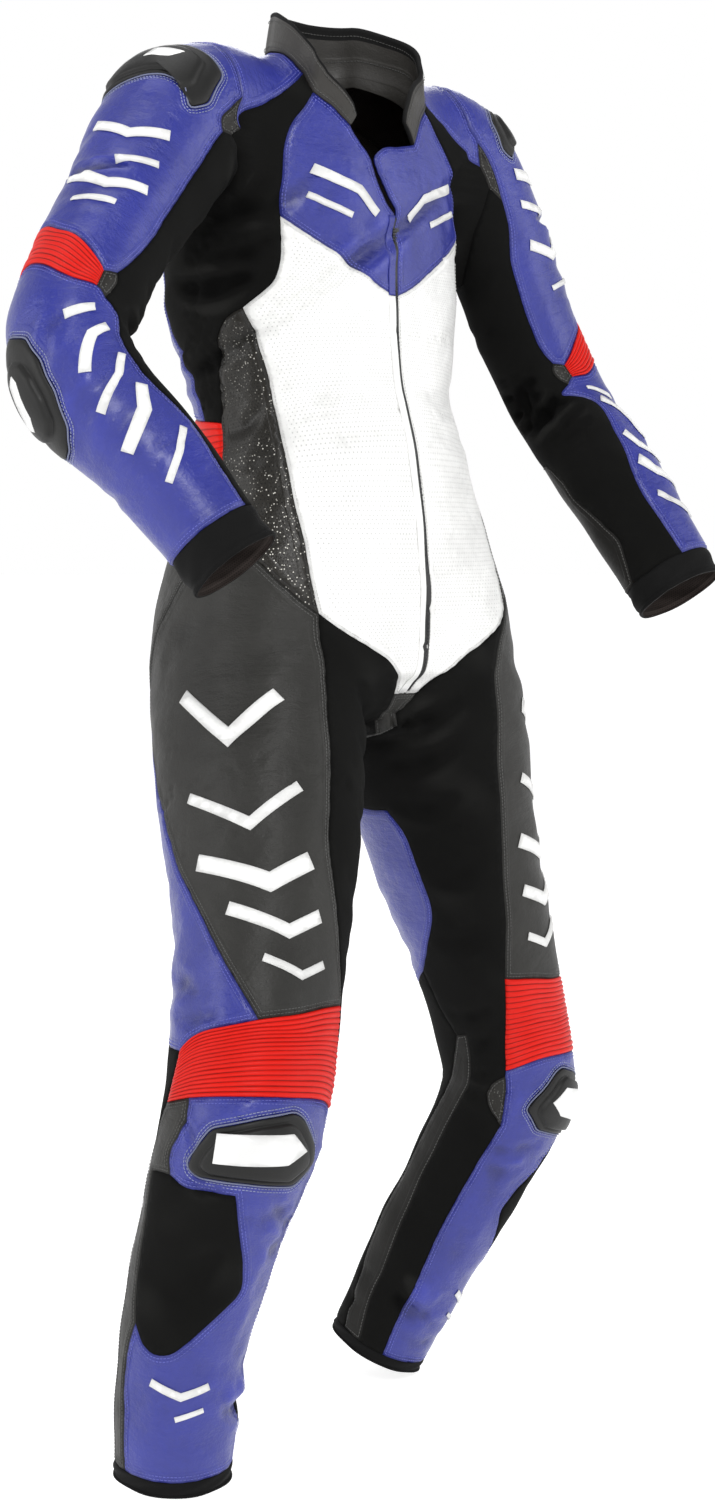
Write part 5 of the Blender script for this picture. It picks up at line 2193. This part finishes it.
class SUIT_OT_livery(bpy.types.Operator):
    """Sews plain white bars and chevrons on the sleeves, forearms, thighs, chest and shins"""
    bl_idname = "suit.livery"
    bl_label = "White bars"

    def execute(self, context):
        finish = STORE["finish"]
        for name, (host, width, slant, rows) in LIVERY.items():
            for side in "RL":
                where, flat = flat_rows(host, rows, side)
                corners = true_strip(where, flat, width / 1000, slant / 1000)
                obj = raised_shape(name + "_" + side, where, corners, 0.0008, 0.0019, 0.0006,
                                   finish["white_trim"])
                place(obj, "white_leather")
        return {"FINISHED"}


class SUIT_OT_front(bpy.types.Operator):
    """Closes the front with its zip teeth and folded flap, and stands the collar on the neck"""
    bl_idname = "suit.front"
    bl_label = "Zip and collar"

    def execute(self, context):
        finish = STORE["finish"]
        left, right = (-0.0105, 0.0, 0.0), (-0.0014, -0.0022, 0.0003)
        for name, first, last, slot, look in (
                ("zip_flap_chest", 1.314, 1.2165, "blue_leather", "blue_leather"),
                ("zip_flap_front", 1.2155, 0.801, "white_leather", "white_trim")):
            place(front_strip(name, first, last, FLAP_PROFILE, left, right, finish[look]), slot)
        left, right = (-0.0034, 0.0, 0.0), (0.0027, 0.0016, 0.0)
        place(front_strip("zip_strip", 1.312, 0.802, TAPE_PROFILE, left, right, finish["zip"]), "zip")
        teeth, _ = zip_chain(finish["zip"])
        place(teeth, "zip")
        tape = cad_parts["zip_tape"]
        tape.data.materials.clear()
        tape.data.materials.append(finish["zip"])
        collar = collar_shell([finish["collar_leather"], finish["collar_edge"],
                               finish["collar_leather"], finish["lining"]])
        place(collar, "collar_leather", "collar")
        return {"FINISHED"}


class SUIT_OT_stitching(bpy.types.Operator):
    """Sews every noted row of stitches, one object for each thread colour"""
    bl_idname = "suit.stitching"
    bl_label = "Stitching"

    def execute(self, context):
        length = context.scene.race_suit.stitch_length
        slots = {"blue": "blue_leather", "white": "white_leather", "grey": "grey_leather",
                 "light": "collar_leather", "black": "side_leather"}
        for colour, slot in slots.items():
            rows = [row[1:] for row in STORE["stitches"] if row[0] == colour and len(row[1])]
            if rows:
                obj = stitch_mesh("stitches_" + colour, rows, length, 0.0008, 0.00042,
                                  STORE["finish"]["thread_" + colour])
                place(obj, slot)
        return {"FINISHED"}


class SUIT_OT_stage(bpy.types.Operator):
    """Sets the pale floor, the soft lights and the camera"""
    bl_idname = "suit.stage"
    bl_label = "Stage"

    def execute(self, context):
        build_stage()
        return {"FINISHED"}


class SUIT_PT_panel(bpy.types.Panel):
    """Lists the suit's settings and its operators in the sidebar"""
    bl_label = "Race suit"
    bl_idname = "SUIT_PT_panel"
    bl_space_type = "VIEW_3D"
    bl_region_type = "UI"
    bl_category = "Race suit"

    def draw(self, context):
        layout = self.layout
        for name in RaceSuitSettings.__annotations__:
            layout.prop(context.scene.race_suit, name)
        for operator in OPERATORS:
            layout.operator(operator.bl_idname)


OPERATORS = (SUIT_OT_leather, SUIT_OT_stretch, SUIT_OT_ribs, SUIT_OT_bands, SUIT_OT_armour,
             SUIT_OT_livery, SUIT_OT_front, SUIT_OT_stitching, SUIT_OT_stage)
CLASSES = (RaceSuitSettings, *OPERATORS, SUIT_PT_panel)


def register():
    for each in CLASSES:
        bpy.utils.register_class(each)
    bpy.types.Scene.race_suit = bpy.props.PointerProperty(type=RaceSuitSettings)


def unregister():
    del bpy.types.Scene.race_suit
    for each in reversed(CLASSES):
        bpy.utils.unregister_class(each)


def main():
    register()
    bpy.ops.suit.leather()
    bpy.ops.suit.stretch()
    bpy.ops.suit.ribs()
    bpy.ops.suit.bands()
    bpy.ops.suit.armour()
    bpy.ops.suit.livery()
    bpy.ops.suit.front()
    bpy.ops.suit.stitching()
    bpy.ops.suit.stage()


if __name__ == "__main__":
    main()
